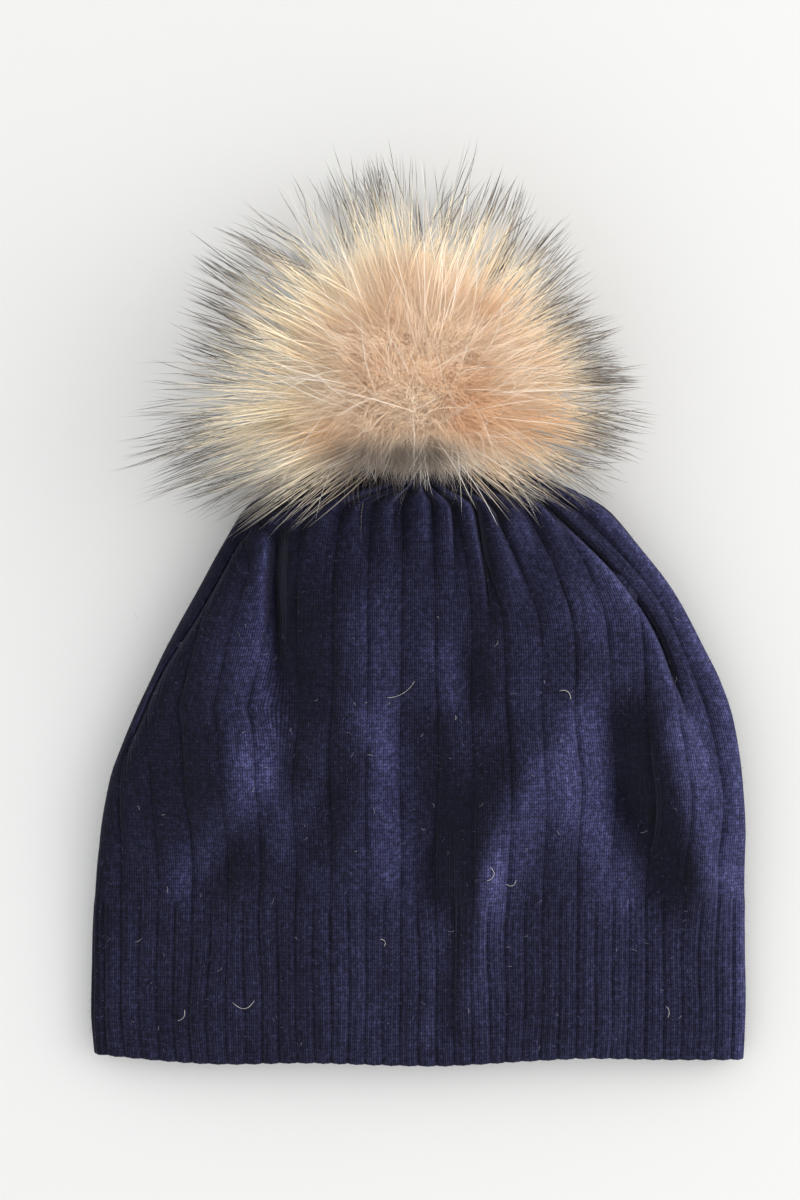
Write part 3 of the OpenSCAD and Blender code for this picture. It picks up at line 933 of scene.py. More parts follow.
def fur_values(lines, near, dark_from, dark):
    """The fur's colouring along each hair."""
    count, steps, _ = lines.shape
    tips = lines[:, -1]
    along = np.linspace(0, 1, steps)[None, :] + np.zeros((count, 1))
    blur = ripples(tips, 22.0, 5) * 6 + ripples(tips, 7.0, 6) * 5
    reach = np.hypot(lines[..., 0] - 4.0, (lines[..., 1] - 84.0) * 1.05) + blur[:, None]
    cream = smooth_step(26, 52, reach)
    tan = smooth_step(0.1, 1.1, ripples(lines, 26.0, 9)) * smooth_step(58, 40, reach)
    rust = np.clip(patches(lines, BROWNER) + 0.35 * tan + blur[:, None] * 0.02, 0, 1)
    tuft = 0.0 if near is None else rng.normal(size=near.max() + 1)[near]
    tone = (1 + 0.08 * rng.normal(size=count) + 0.11 * tuft + 0.07 * ripples(tips, 9.0, 8))[:, None]
    tone = tone * (0.94 + 0.13 * patches(lines, PALER) - 0.1 * patches(lines, DARKER))
    ink = smooth_step(0.0, 0.18, along - dark_from[:, None]) * dark[:, None]
    return {"along": along, "cream": cream, "rust": rust, "tone": tone, "ink": ink,
            "foot": foot_grey_and_shadow(lines)}


def plain_values(lines, near=None):
    """The values of hair that has no dark tip."""
    return fur_values(lines, near, np.full(len(lines), 2.0), np.zeros(len(lines)))


def taper(lines, width, power=0.7):
    s = np.linspace(0, 1, lines.shape[1])
    return width[:, None] * (1.02 - s) ** power


def shield(lines, width):
    """Guard hairs are thickest past the middle and then run to a point."""
    s = np.linspace(0, 1, lines.shape[1])
    return width[:, None] * (0.55 + 0.45 * smooth_step(0.1, 0.6, s)) * np.clip((1.02 - s) / 0.16, 0, 1)


def fur_look(name, lift=1.0):
    look = Nodes(name)
    along = look.value("along")
    # Each hair is darker towards its root: painted shade deep in the fur.
    pink = look.ramp(along, [(0.0, srgb(242, 208, 174)), (0.3, srgb(252, 224, 192)),
                             (0.75, srgb(254, 232, 204)), (1.0, srgb(254, 240, 218))])
    cream = look.ramp(along, [(0.0, srgb(232, 202, 156)), (0.3, srgb(247, 224, 180)),
                              (0.7, srgb(250, 236, 206)), (1.0, srgb(252, 247, 236))])
    base = look.mix(look.value("cream"), pink, cream)
    base = look.mix(look.math("MULTIPLY", look.value("rust"), 0.68), base, srgb(222, 166, 110))
    ink = look.ramp(look.math("ADD", look.math("MULTIPLY", look.place_x(), 6.0), 0.5),
                    [(0.1, srgb(15, 14, 18)), (0.9, srgb(28, 16, 13))])
    # The foot's grey: the fur's own grey-brown down there, and painted shadow where the fur meets the
    # crown.
    base = look.mix(look.math("MULTIPLY", look.value("foot"), 0.85), base, srgb(64, 55, 53))
    base = look.mix(look.value("ink"), base, ink)
    tone = look.add("ShaderNodeCombineColor")
    for socket in tone.inputs[:3]:
        look.join(look.math("MULTIPLY", look.value("tone"), lift), socket)
    base = look.mix(1.0, base, tone.outputs[0], "MULTIPLY")
    look.colour(base)
    look.set(Roughness=0.6, Specular_IOR_Level=0.25, Sheen_Weight=0.4, Sheen_Roughness=0.5,
             Sheen_Tint=(1.0, 0.93, 0.84, 1.0))
    return look.material


FUR = fur_look("raccoon_fur")


def make_fur(name, lines, widths, values, body="pom", material=None):
    obj = strand_mesh(name, lines, widths, values)
    return wear(obj, material or FUR, body)


def lead_of(count, share):
    return rng.choice(count, max(4, int(count * share)), replace=False)


CORE_LOW = 9.0        # the core stays about this far above the table, so that hair covers its lower side


def core_place(way, theta):
    """Where the fur's matted core ends in each direction. theta is the angle from the pom's axis."""
    side = smooth_step(0.6, 0.25, way[..., 2])
    radius = envelope(way) * (0.70 + 0.10 * side - 0.22 * smooth_step(0.45, -0.3, way[..., 1]))
    radius = radius * (1 - 0.72 * smooth_step(1.45, 1.86, theta))
    place = FUR_FOOT + way * radius[..., None]
    bumps = ripples(place, 11.0, 31) * 1.6 + ripples(place, 4.5, 32) * 1.1 + ripples(place, 2.4, 34) * 0.5
    place = place + way * (bumps * (1 - smooth_step(1.5, 1.86, theta)))[..., None]
    low = place[..., 2] - CORE_LOW
    place[..., 2] = CORE_LOW + np.where(low > 0, low, 0.25 * low)
    place[..., 2] = np.maximum(place[..., 2], 3.0)
    return place


# Fur core: the matted down next to the pelt, under the hairs
def fur_core():
    rings, around = 70, 160
    theta = np.linspace(0.02, 1.86, rings)
    phi = 2 * math.pi * np.arange(around) / around
    st, ct = np.sin(theta)[:, None], np.cos(theta)[:, None]
    way = st[..., None] * (np.cos(phi)[None, :, None] * ACROSS + np.sin(phi)[None, :, None] * UPHILL) \
        + ct[..., None] * AXIS
    place = core_place(way, theta[:, None])
    shell_points = np.concatenate([place.reshape(-1, 3), place[0].mean(0)[None],
                                   place[-1].mean(0)[None]])
    corners, sizes, uvs = [], [], []
    for r in range(rings - 1):
        i = np.arange(around)
        j = (i + 1) % around
        quad = np.stack([r * around + i, (r + 1) * around + i, (r + 1) * around + j,
                         r * around + j], 1)
        corners.append(quad.ravel())
        sizes.append(np.full(around, 4))
        uv = np.stack([np.stack([i, 0 * i + r], 1), np.stack([i, 0 * i + r + 1], 1),
                       np.stack([i + 1, 0 * i + r + 1], 1), np.stack([i + 1, 0 * i + r], 1)], 1)
        uvs.append(uv.reshape(-1, 2) / [around, rings + 1.0])
    top, bottom = rings * around, rings * around + 1
    i = np.arange(around)
    j = (i + 1) % around
    corners.append(np.stack([np.full(around, top), i, j], 1).ravel())
    corners.append(np.stack([np.full(around, bottom), (rings - 1) * around + j,
                             (rings - 1) * around + i], 1).ravel())
    sizes += [np.full(around, 3), np.full(around, 3)]
    for v in (0.0, rings - 1.0):
        flat = np.stack([np.stack([i, 0 * i + v], 1), np.stack([i, 0 * i + v], 1),
                         np.stack([i + 1, 0 * i + v], 1)], 1)
        uvs.append(flat.reshape(-1, 2) / [around, rings + 1.0])
    obj = new_mesh("fur_down_core", shell_points, np.concatenate(corners), np.concatenate(sizes))
    give_uv(obj, "OFBake", np.concatenate(uvs))
    reach = np.hypot(shell_points[:, 0] - 4.0, (shell_points[:, 1] - 84.0) * 1.05)
    give_values(obj, "cream", smooth_step(26, 52, reach))
    give_values(obj, "along", np.full(len(shell_points), 0.35))
    give_values(obj, "rust", np.clip(patches(shell_points, BROWNER), 0, 1))
    give_values(obj, "tone", 0.9 + 0.08 * ripples(shell_points, 3.0, 33))
    give_values(obj, "ink", np.zeros(len(shell_points)))
    give_values(obj, "foot", foot_grey_and_shadow(shell_points))
    return wear(obj, FUR, "pom")


core = fur_core()


def hair_set(count, low, high, lean, droop, curl, steps, share, strength, swirl):
    roots, normal = pelt_roots(count)
    count = len(roots)
    way = start_way(roots, normal, lean)
    way = swirled(swirled(way, roots, swirl, 24.0, 51), roots, swirl * 0.8, 9.0, 61)
    way = unit(way + 0.09 * rng.normal(size=way.shape))
    reach = envelope(unit(roots + way * 40 - FUR_FOOT)) - np.linalg.norm(roots - FUR_FOOT, axis=1) * 0.8
    length = np.maximum(reach, 12.0) * rng.uniform(low, high, count) * (1 + 0.12 * ripples(roots, 8.0, 71))
    lines = grow(roots, way, length, steps, np.full(count, droop) * rng.uniform(0.6, 1.4, count),
                 np.full(count, curl) * rng.uniform(0.5, 1.5, count))
    lines, near = clumped(lines, lead_of(count, share), strength * rng.uniform(0.5, 1.0, count))
    return lines, near


# Underfur: short, fine and matted
for part in range(3):
    lines, near = hair_set(4600, 0.36, 0.88, 0.55, 0.25, 0.9, 5, 0.05, 0.6, 0.34)
    make_fur(f"underfur_{part + 1}", lines, taper(lines, rng.uniform(0.13, 0.2, len(lines))),
             plain_values(lines, near))

# Front tufts: short curly hair at the middle, where the fur parts over the crown
roots, normal = pelt_roots(11000)
front = (normal[:, 1] < 0.45) & (normal[:, 2] > -0.1)
roots, normal = roots[front], normal[front]
n = len(roots)
way = swirled(0.6 * normal + 0.3 * unit(roots - LEAN_FOOT) + [0, -0.1, 0.25], roots, 0.30, 12.0, 111)
way = unit(way + 0.12 * rng.normal(size=way.shape))
reach = envelope(unit(roots + way * 25 - FUR_FOOT)) - np.linalg.norm(roots - FUR_FOOT, axis=1) * 0.7
length = np.clip(reach, 9.0, 34.0) * rng.uniform(0.55, 1.05, n)
lines = grow(roots, way, length, 6, rng.uniform(0.1, 0.6, n), rng.uniform(0.4, 1.3, n))
lines, near = clumped(lines, lead_of(n, 0.05), rng.uniform(0.4, 0.8, n))
make_fur("front_tufts", lines, taper(lines, rng.uniform(0.14, 0.2, n)),
         plain_values(lines, near))

# Mid hair: longer cream hairs that make the dense outline
for part in range(3):
    lines, near = hair_set(5200, 0.58, 1.0, 0.6, 0.22, 1.0, 6, 0.12, 0.35, 0.34)
    make_fur(f"mid_hair_{part + 1}", lines, taper(lines, rng.uniform(0.09, 0.15, len(lines))),
             plain_values(lines, near))


def guard_strength(way):
    """How many dark-tipped hairs grow in each direction, from 0 to 1, and how far they reach
    beyond the dense fur."""
    turn = np.degrees(np.arctan2(way[:, 1], way[:, 0]))
    level = 1 - smooth_step(0.45, 0.85, way[:, 2])
    dense = through([(-180, 0.85), (-150, 0.8), (-100, 0.0), (-60, 0.0), (-30, 0.9), (0, 1.0),
                     (25, 0.9), (45, 0.5), (70, 0.24), (110, 0.2), (135, 0.3), (160, 0.5),
                     (180, 0.85)], turn)
    extra = through([(-180, 38.0), (-150, 34.0), (-90, 12.0), (-30, 24.0), (0, 30.0), (45, 31.0),
                     (90, 28.0), (120, 29.0), (145, 36.0), (180, 38.0)], turn)
    return dense * level, extra


# Guard hair: long, stiff, dark-tipped and gathered in wedges
def guard_hair(name, count, clumps, dark_low, dark_high, width):
    roots, normal = pelt_roots(count * 3)
    way = start_way(roots, normal, 0.62)
    way = swirled(way, roots, 0.16, 14.0, 81)
    way = unit(way + 0.06 * rng.normal(size=way.shape))
    aim = unit(roots + way * 45 - FUR_FOOT)
    strength, extra = guard_strength(aim)
    wedge = 0.72 + 0.75 * ripples(aim * 50, 13.0, 41)
    keep = np.flatnonzero(rng.uniform(size=len(roots)) < strength * wedge)[:count]
    roots, way, aim, extra = roots[keep], way[keep], aim[keep], extra[keep]
    reach = envelope(aim) + extra - np.linalg.norm(roots - FUR_FOOT, axis=1) * 0.8
    length = reach * rng.uniform(0.78, 1.06, len(roots)) * (1 + 0.07 * ripples(aim * 50, 8.0, 43))
    n = len(roots)
    lines = grow(roots, way, length, 9, rng.uniform(0.05, 0.3, n), rng.uniform(0.08, 0.4, n))
    lines, near = clumped(lines, lead_of(n, clumps), rng.uniform(0.15, 0.8, n), 1.1)
    start = rng.uniform(dark_low, dark_high, n)
    values = fur_values(lines, near, start, rng.uniform(0.75, 1.0, n))
    return make_fur(name, lines, shield(lines, width * rng.uniform(0.8, 1.15, n)), values)


guard_hair("guard_hair_1", 1150, 0.05, 0.54, 0.68, 0.31)
guard_hair("guard_hair_2", 1400, 0.09, 0.55, 0.70, 0.2)


def pale_hair(name, roots, way, length, droop, curl, low, high):
    """Thick pale hairs that lie loose on top of the others."""
    n = len(roots)
    lines = grow(roots, way, length, 10, rng.uniform(*droop, n), rng.uniform(*curl, n))
    values = plain_values(lines)
    values["cream"] = np.ones_like(values["cream"])
    values["rust"] = values["rust"] * 0.2
    values["foot"] = values["foot"] * 0.3
    values["along"] = np.clip(values["along"] + 0.45, 0, 1)
    return make_fur(name, lines, taper(lines, rng.uniform(low, high, n), 0.5), values)


# Whiskers over the dense fur, most of them low on the pom, and strays that fall over the hat's edge
roots, normal = pelt_roots(1400)
keep = (roots[:, 2] > PELT_MID[2] - 14) & (
    rng.uniform(size=len(roots)) < 0.25 + 0.75 * smooth_step(0.5, -0.4, normal[:, 1]))
roots, normal = roots[keep][:300], normal[keep][:300]
way = unit(start_way(roots, normal, 0.7) + 0.26 * rng.normal(size=roots.shape))
reach = envelope(unit(roots + way * 30 - FUR_FOOT))
pale_hair("whiskers", roots, way, np.maximum(reach, 24.0) * rng.uniform(0.5, 1.0, len(roots)),
          (0.2, 0.9), (0.3, 1.3), 0.16, 0.28)

roots, normal = pelt_roots(14000)
front = (normal[:, 1] < -0.5) & (normal[:, 2] > -0.1) & (normal[:, 2] < 0.75)
roots, normal = roots[front], normal[front]
strays = roots[:40]
way = unit(np.stack([rng.normal(0.05, 0.6, len(strays)), np.full(len(strays), -0.8),
                     rng.uniform(-0.1, 0.4, len(strays))], -1))
pale_hair("stray_hair", strays, way, rng.uniform(15, 27, len(strays)), (0.5, 1.4), (0.3, 1.0),
          0.22, 0.36)

# Grey-brown down at the fur's foot, over the crown's edge and round the base disc; its grey in front is
# partly painted shadow
def foot_down():
    roots, normal = pelt_roots(16000)
    low = (normal @ AXIS < -0.15) | ((normal[:, 1] < -0.5) & (normal[:, 2] < 0.75))
    front = normal[:, 1] < -0.45
    keep = low & (front | (rng.uniform(size=len(roots)) < 0.5))
    roots, normal = roots[keep][:5200], normal[keep][:5200]
    n = len(roots)
    out = roots - CROWN
    out = unit(out - np.outer(out @ AXIS, AXIS))
    way = unit(out - 0.55 * AXIS + np.outer(rng.uniform(0.0, 0.6, n) * (normal[:, 1] < -0.45), [0, -1.0, 0])
               + 0.35 * rng.normal(size=out.shape))
    lines = grow(roots, way, rng.uniform(8, 19, n), 5, rng.uniform(0.3, 1.2, n),
                 rng.uniform(0.4, 1.2, n))
    values = plain_values(lines)
    # Grey on the front hairs low on the pom: partly their own grey-brown down, partly painted shadow.
    down_grey_and_shadow = 0.8 * smooth_step(0.1, -0.5, normal[:, 1])[:, None] \
        * smooth_step(26.0, 14.0, np.abs(lines[..., 0] + FOOT_SIDE)) \
        * smooth_step(64.0, 48.0, lines[..., 2])
    values["foot"] = np.maximum(values["foot"], down_grey_and_shadow)
    return make_fur("foot_down", lines, taper(lines, rng.uniform(0.16, 0.26, n)), values)


# Under hair: rooted in the core's lower sides and lower face, which the pelt's own hair leaves bare
def under_hair(name, count):
    way = unit(rng.normal(size=(count * 5, 3)) * [1.0, 1.0, 0.8])
    theta = np.arccos(way @ AXIS)
    keep = (theta < 1.75) & (way[:, 2] < 0.3) & ((way[:, 1] > -0.35) | (way[:, 2] < -0.1))
    way, theta = way[keep][:count], theta[keep][:count]
    n = len(way)
    edge = core_place(way, theta)
    out = unit(edge - PELT_MID)
    out[:, 2] *= 0.6
    out = swirled(unit(out), edge, 0.35, 14.0, 121)
    out = unit(out + 0.22 * rng.normal(size=out.shape))
    length = np.maximum(envelope(way), 36.0) * rng.uniform(0.16, 0.34, n)
    lines = grow(edge - 1.5 * way, out, length, 5, rng.uniform(0.0, 0.4, n), rng.uniform(0.3, 1.0, n))
    lines, near = clumped(lines, lead_of(n, 0.08), rng.uniform(0.2, 0.7, n))
    return make_fur(name, lines, taper(lines, rng.uniform(0.16, 0.24, n)),
                    plain_values(lines, near))


# Skirt: hair that hangs from the pelt's lower edge over the base disc, except over the hat's middle
def skirt_hair(count):
    roots, normal = pelt_roots(count * 12)
    out = roots - CROWN
    out = out - np.outer(out @ AXIS, AXIS)
    round_r = np.linalg.norm(out, axis=1)
    out = unit(out)
    keep = (normal @ AXIS < -0.2) & (round_r > 14.0) & (out @ UPHILL < 0.6)
    roots, out = roots[keep][:count], out[keep][:count]
    n = len(roots)
    way = unit(0.35 * out - AXIS + 0.22 * rng.normal(size=out.shape))
    lines = grow(roots, way, rng.uniform(11, 19, n), 5, rng.uniform(0.0, 0.3, n),
                 rng.uniform(0.2, 0.8, n))
    lines, near = clumped(lines, lead_of(n, 0.1), rng.uniform(0.1, 0.5, n))
    return make_fur("skirt_hair", lines, taper(lines, rng.uniform(0.16, 0.26, n)),
                    plain_values(lines, near))


foot_down()
under_hair("under_hair_1", 4600)
under_hair("under_hair_2", 4600)
skirt_hair(1500)
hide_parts("pom_underfur", "pom_guard_hair")


# ---- Fuzz and lint on the knit --------------------------------------------------------------------

def plain_hair(name, dark, light):
    look = Nodes(name)
    tone = look.ramp(look.value("tone"), [(0.0, dark), (1.0, light)])
    look.colour(tone)
    look.set(Roughness=0.9, Specular_IOR_Level=0.2)
    return look.material


def knit_fuzz(name, count, rows):
    """Short loose fibres standing off the knit's outer face."""
    r = rng.integers(rows[0], rows[1], count)
    c = rng.integers(0, COLUMNS, count)
    roots = outer[r, c] - 0.15 * face_normal[r, c]
    way = unit(face_normal[r, c] * rng.uniform(0.15, 1.0, (count, 1)) + 0.8 * rng.normal(size=(count, 3)))
    length = rng.uniform(0.7, 2.6, count)
    lines = [roots]
    for _ in range(3):
        way = unit(way + 0.5 * rng.normal(size=way.shape))
        lines.append(lines[-1] + way * (length / 3)[:, None])
    lines = np.stack(lines, 1)
    lines[..., 2] = np.maximum(lines[..., 2], 0.1)
    obj = strand_mesh(name, lines, np.full((count, 4), 0.055) * rng.uniform(0.6, 1.2, (count, 1)),
                      {"tone": rng.uniform(0, 1, (count, 1)) ** 2 * np.ones((1, 4))})
    return wear(obj, FUZZ, "hat")


FUZZ = plain_hair("navy_fuzz", srgb(34, 35, 62), srgb(120, 122, 158))
knit_fuzz("brim_fuzz", 5500, (0, last_brim))
knit_fuzz("body_fuzz", 8500, (last_brim, len(all_t) - 11))


# ---- Lathed, swept and folded pieces ------------------------------------------------------------

def joined(parts):
    """Several (points, corners, sizes, uvs) sets as one."""
    points, corners, sizes, uvs = [], [], [], []
    count = 0
    for k, (own_points, own_corners, own_sizes, own_uvs) in enumerate(parts):
        points.append(own_points)
        corners.append(np.asarray(own_corners) + count)
        sizes.append(own_sizes)
        uvs.append((np.asarray(own_uvs) * 0.96 + 0.02 + [k, 0]) / [len(parts), 1])
        count += len(own_points)
    return tuple(np.concatenate(x) for x in (points, corners, sizes, uvs))


def grid_faces(rows, columns, close_rows, close_columns, start=0):
    """Faces, and their places on a unit square, of a grid of points."""
    r = np.arange(rows if close_rows else rows - 1)[:, None]
    c = np.arange(columns if close_columns else columns - 1)[None, :]
    corners, uvs = [], []
    for dr, dc in ((0, 0), (0, 1), (1, 1), (1, 0)):
        corners.append(start + (r + dr) % rows * columns + (c + dc) % columns)
        uvs.append(np.stack([(c + dc) / columns + 0 * r, (r + dr) / rows + 0 * c], -1))
    corners = np.stack(corners, -1).reshape(-1)
    return corners, np.full(r.size * c.size, 4), np.stack(uvs, 2).reshape(-1, 2)


def with_ends(points, ends, faces, n, m):
    """Closes a tube of n rings of m points with a fan at each end, round the two given points."""
    corners, sizes, uvs = faces
    i = np.arange(m)
    j = (i + 1) % m
    fans = [np.stack([np.full(m, n * m), j, i], 1),
            np.stack([np.full(m, n * m + 1), (n - 1) * m + i, (n - 1) * m + j], 1)]
    fan_uv = np.stack([np.tile([0.5, 0.0, 1.0], 2 * m), np.zeros(6 * m)], 1)
    return (np.concatenate([points, ends]), np.concatenate([corners] + [fan.ravel() for fan in fans]),
            np.concatenate([sizes, np.full(2 * m, 3)]), np.concatenate([uvs, fan_uv]))


def tube(path, section, closed=False):
    """A tube along a path. section gives, at each step of the path, its outline in the path's own
    side and up directions, anticlockwise."""
    n, m = section.shape[:2]
    if closed:
        way = unit(np.roll(path, -1, 0) - np.roll(path, 1, 0))
    else:
        way = unit(np.gradient(path, axis=0))
    spread = path - path.mean(0)
    flat = np.linalg.svd(spread)[2][2]
    up = unit(flat - way * (way @ flat)[:, None])
    side = np.cross(way, up)
    points = path[:, None] + section[..., :1] * side[:, None] + section[..., 1:] * up[:, None]
    faces = grid_faces(n, m, closed, True)
    points = points.reshape(-1, 3)
    if closed:
        return (points, *faces)
    return with_ends(points, np.stack([path[0], path[-1]]), faces, n, m)


def twisted(path, radius, lay, strands=2, points=14, closed=False):
    """A cord of twisted strands. lay is the length of one full twist."""
    step = np.linalg.norm(np.diff(path, axis=0), axis=1)
    along = np.concatenate([[0], np.cumsum(step)])
    if closed:
        total = along[-1] + step[-1]
        lay = total / round(total / lay)
    angle = 2 * math.pi * np.arange(points) / points
    turn = angle[None, :] - 2 * math.pi * along[:, None] / lay
    size = radius * (0.8 + 0.2 * np.abs(np.cos(strands / 2 * turn)))
    return tube(path, size[..., None] * np.stack([np.cos(angle), np.sin(angle)], -1), closed)


def make_piece(name, parts, material, body):
    points, corners, sizes, uvs = joined(parts)
    obj = new_mesh(name, points, corners, sizes)
    give_uv(obj, "OFBake", uvs)
    return wear(obj, material, body)


def crown_ring(radius, along, count):
    angle = 2 * math.pi * np.arange(count) / count
    return crown_place(radius * np.cos(angle), radius * np.sin(angle), np.full(count, along))


def lathe(profile, segments, wobble=None):
    """A closed form turned round the pom's axis, from a closed outline of (radius, along)."""
    angle = 2 * math.pi * np.arange(segments) / segments
    radius, along = np.array(profile, float).T
    radius = radius[None, :] + 0 * angle[:, None]
    along = along[None, :] + 0 * angle[:, None]
    if wobble is not None:
        radius, along = wobble(radius, along, angle[:, None])
    points = crown_place(radius * np.cos(angle)[:, None], radius * np.sin(angle)[:, None], along)
    corners, sizes, uvs = grid_faces(segments, len(profile), True, True)
    return points.reshape(-1, 3), corners, sizes, uvs


def rounded(low_r, high_r, low, high, edge, steps=5):
    """A flat ring's outline with rounded edges."""
    outline = []
    for r, a, start in ((high_r - edge, low + edge, -90), (high_r - edge, high - edge, 0),
                        (low_r + edge, high - edge, 90), (low_r + edge, low + edge, 180)):
        for k in range(steps):
            turn = math.radians(start + 90 * k / (steps - 1))
            outline.append((r + edge * math.cos(turn), a + edge * math.sin(turn)))
    return outline


def filled(outline, across):
    """The same outline with its long straight parts divided into steps of about that length."""
    result = []
    for a, b in zip(outline, outline[1:] + outline[:1]):
        count = max(1, round(math.dist(a, b) / across))
        result += [(a[0] + (b[0] - a[0]) * k / count, a[1] + (b[1] - a[1]) * k / count)
                   for k in range(count)]
    return result


def fibre_look(name, dark, light, scale, depth_mm, rough=0.9):
    """Felt, thread or wadding: matted fibres at the given scale."""
    look = Nodes(name)
    place = look.place()
    fibre = look.noise(place, scale, 6.0, 0.75)
    look.colour(look.ramp(fibre, [(0.3, dark), (0.7, light)]))
    look.bump(fibre, depth_mm, 0.9)
    look.set(Roughness=rough, Sheen_Weight=0.3, Specular_IOR_Level=0.2)
    return look.material


def hide_look(name, dark, light, scale, depth_mm):
    """Leather: cells of grain, darker in their creases."""
    look = Nodes(name)
    place = look.place()
    cells = look.add("ShaderNodeTexVoronoi", feature="DISTANCE_TO_EDGE")
    cells.inputs["Scale"].default_value = scale
    look.join(place, cells.inputs["Vector"])
    grain = look.math("MULTIPLY", cells.outputs["Distance"], 2.2, clamp=True)
    height = look.math("ADD", grain, look.math("MULTIPLY", look.noise(place, scale * 2, 4.0), 0.5))
    look.colour(look.ramp(height, [(0.1, dark), (0.9, light)]))
    look.bump(height, depth_mm, 0.8)
    look.set(Roughness=0.7, Specular_IOR_Level=0.35)
    return look.material


def metal_look(name, dark, light, scale, rough, depth_mm):
    """Plated metal: faint drawing lines, small tarnish and scuffs."""
    look = Nodes(name)
    place = look.place()
    tarnish = look.noise(place, scale, 5.0, 0.7)
    scuff = look.noise(place, scale * 9, 3.0, 0.6)
    look.colour(look.ramp(tarnish, [(0.3, dark), (0.62, light)]))
    worn = look.math("ADD", look.math("MULTIPLY", tarnish, -0.2), rough + 0.1)
    look.join(look.math("ADD", worn, look.math("MULTIPLY", scuff, 0.12)), look.shader.inputs["Roughness"])
    look.bump(scuff, depth_mm, 0.35)
    look.set(Metallic=1.0)
    return look.material


# Whip-stitched seam up the middle of the hat's lower side, on its inner face
def seam():
    middle = round((HALF_GIRTH / 2 + HALF_GIRTH) / GIRTH * COLUMNS / COARSE)
    path = inner[:, middle].copy()
    path[:, 2] += 0.1
    keep = (path[:, 1] > HEM_Y + 3) & (path[:, 1] < SEAM_HIGH[1])
    path = path[keep]
    length = np.concatenate([[0], np.cumsum(np.linalg.norm(np.diff(path, axis=0), axis=1))])
    s = np.arange(0, length[-1], 0.3)
    path = np.stack([np.interp(s, length, path[:, k]) for k in range(3)], -1)
    turn = np.linspace(0, math.pi, 15)[None, :]
    slant = 0.5 + 0.5 * np.cos(2 * math.pi * (s[:, None] / 2.6) + 1.2 * np.cos(turn))
    size = 1 - 0.16 * slant
    across = 1.3 * np.cos(turn) * size
    up = 1.05 * np.sin(turn) ** 0.8 * size
    parts = tube(path, np.stack([across, up], -1))
    return make_piece("back_seam_knit", [parts], SEAM_LOOK, "hat")


SEAM_HIGH = box_mm("back_seam")[1]
SEAM_LOOK = fibre_look("seam_yarn", srgb(12, 12, 27), srgb(48, 49, 80), 900.0, 0.25)
back_seam = seam()
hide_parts("back_seam")


# Blank woven label: one strip, folded once, with its ends sewn in beside the seam
def label():
    low, high = box_mm("care_label")
    long, wide, ply = high[0] - low[0], high[1] - low[1], 0.28
    bend = 0.36
    level = float(inner[:, inner.shape[1] * 3 // 4, 2].min()) + 0.25
    flat = long - bend
    steps = np.linspace(0, 1, 34)
    path = [(low[0] + flat * u, level + 0.22 * math.sin(math.pi * u)) for u in steps]
    path += [(low[0] + flat + bend * math.sin(a), level + bend * (1 - math.cos(a)))
             for a in np.linspace(0.2, math.pi - 0.2, 11)]
    path += [(low[0] + flat * (1 - u), level + 2 * bend + 0.5 * math.sin(math.pi * u) ** 2)
             for u in steps]
    path = np.array(path)
    way = unit(np.gradient(path, axis=0))
    out = np.stack([-way[:, 1], way[:, 0]], -1)
    across = np.linspace(low[1], high[1], 30)
    faces = []
    for side in (-0.5, 0.5):
        line = path + out * ply * side
        faces.append(np.stack([line[:, :1] + 0 * across, across + 0 * line[:, :1],
                               line[:, 1:] + 0.12 * np.sin((across - low[1]) / wide * 3 * math.pi)
                               * (0.3 + 0 * line[:, 1:])], -1))
    top, bottom = faces
    ring = np.concatenate([top, bottom[:, ::-1]], 1)
    n, m = ring.shape[:2]
    corners, sizes, uvs = grid_faces(n, m, False, True)
    ends, end_uv = [], []
    half = m // 2
    for row, flip in ((0, 1), (n - 1, -1)):
        for k in range(half - 1):
            quad = [k, m - 1 - k, m - 2 - k, k + 1][::flip]
            ends.append([row * m + q for q in quad])
            end_uv.append([(0.999, 0.0), (1.0, 0.0), (1.0, 0.001), (0.999, 0.001)])
    corners = np.concatenate([corners, np.array(ends).ravel()])
    sizes = np.concatenate([sizes, np.full(len(ends), 4)])
    uvs = np.concatenate([uvs, np.array(end_uv).reshape(-1, 2)])
    look = Nodes("label_weave")
    place = look.place()
    weave = [look.add("ShaderNodeTexWave", bands_direction=way) for way in ("X", "Y")]
    for node in weave:
        node.inputs["Scale"].default_value = 620.0
        node.inputs["Distortion"].default_value = 0.6
        look.join(place, node.inputs["Vector"])
    cloth = look.math("MULTIPLY", weave[0].outputs["Fac"], weave[1].outputs["Fac"])
    look.colour(look.ramp(cloth, [(0.0, srgb(206, 203, 194)), (0.8, srgb(240, 238, 230))]))
    look.bump(cloth, 0.05, 0.7)
    look.set(Roughness=0.5, Sheen_Weight=0.3)
    obj = make_piece("woven_label", [(ring.reshape(-1, 3), corners, sizes, uvs)], look.material,
                     "hat")
    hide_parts("care_label")


label()

# Threads and cords
GATHER = fibre_look("navy_thread", srgb(9, 9, 20), srgb(42, 43, 70), 1400.0, 0.15)
thread_high = box_mm("crown_gather_thread")[1]
gather = make_piece("gather_thread_twist",
                    [twisted(crown_ring(thread_high[0] - 0.7, 0.7, 300), 0.7, 5.0, closed=True)],
                    GATHER, "hat")
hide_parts("crown_gather_thread")

TAN_THREAD = fibre_look("tan_thread", srgb(120, 92, 62), srgb(206, 178, 138), 1500.0, 0.12)
draw_low, draw_high = box_mm("pelt_draw_thread")
draw_along = along_of((draw_low + draw_high) / 2)
draw = make_piece("draw_thread_twist",
                  [twisted(crown_ring(draw_high[0] - 0.5, draw_along, 160), 0.5, 3.2, closed=True)],
                  TAN_THREAD, "pom")
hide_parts("pelt_draw_thread")


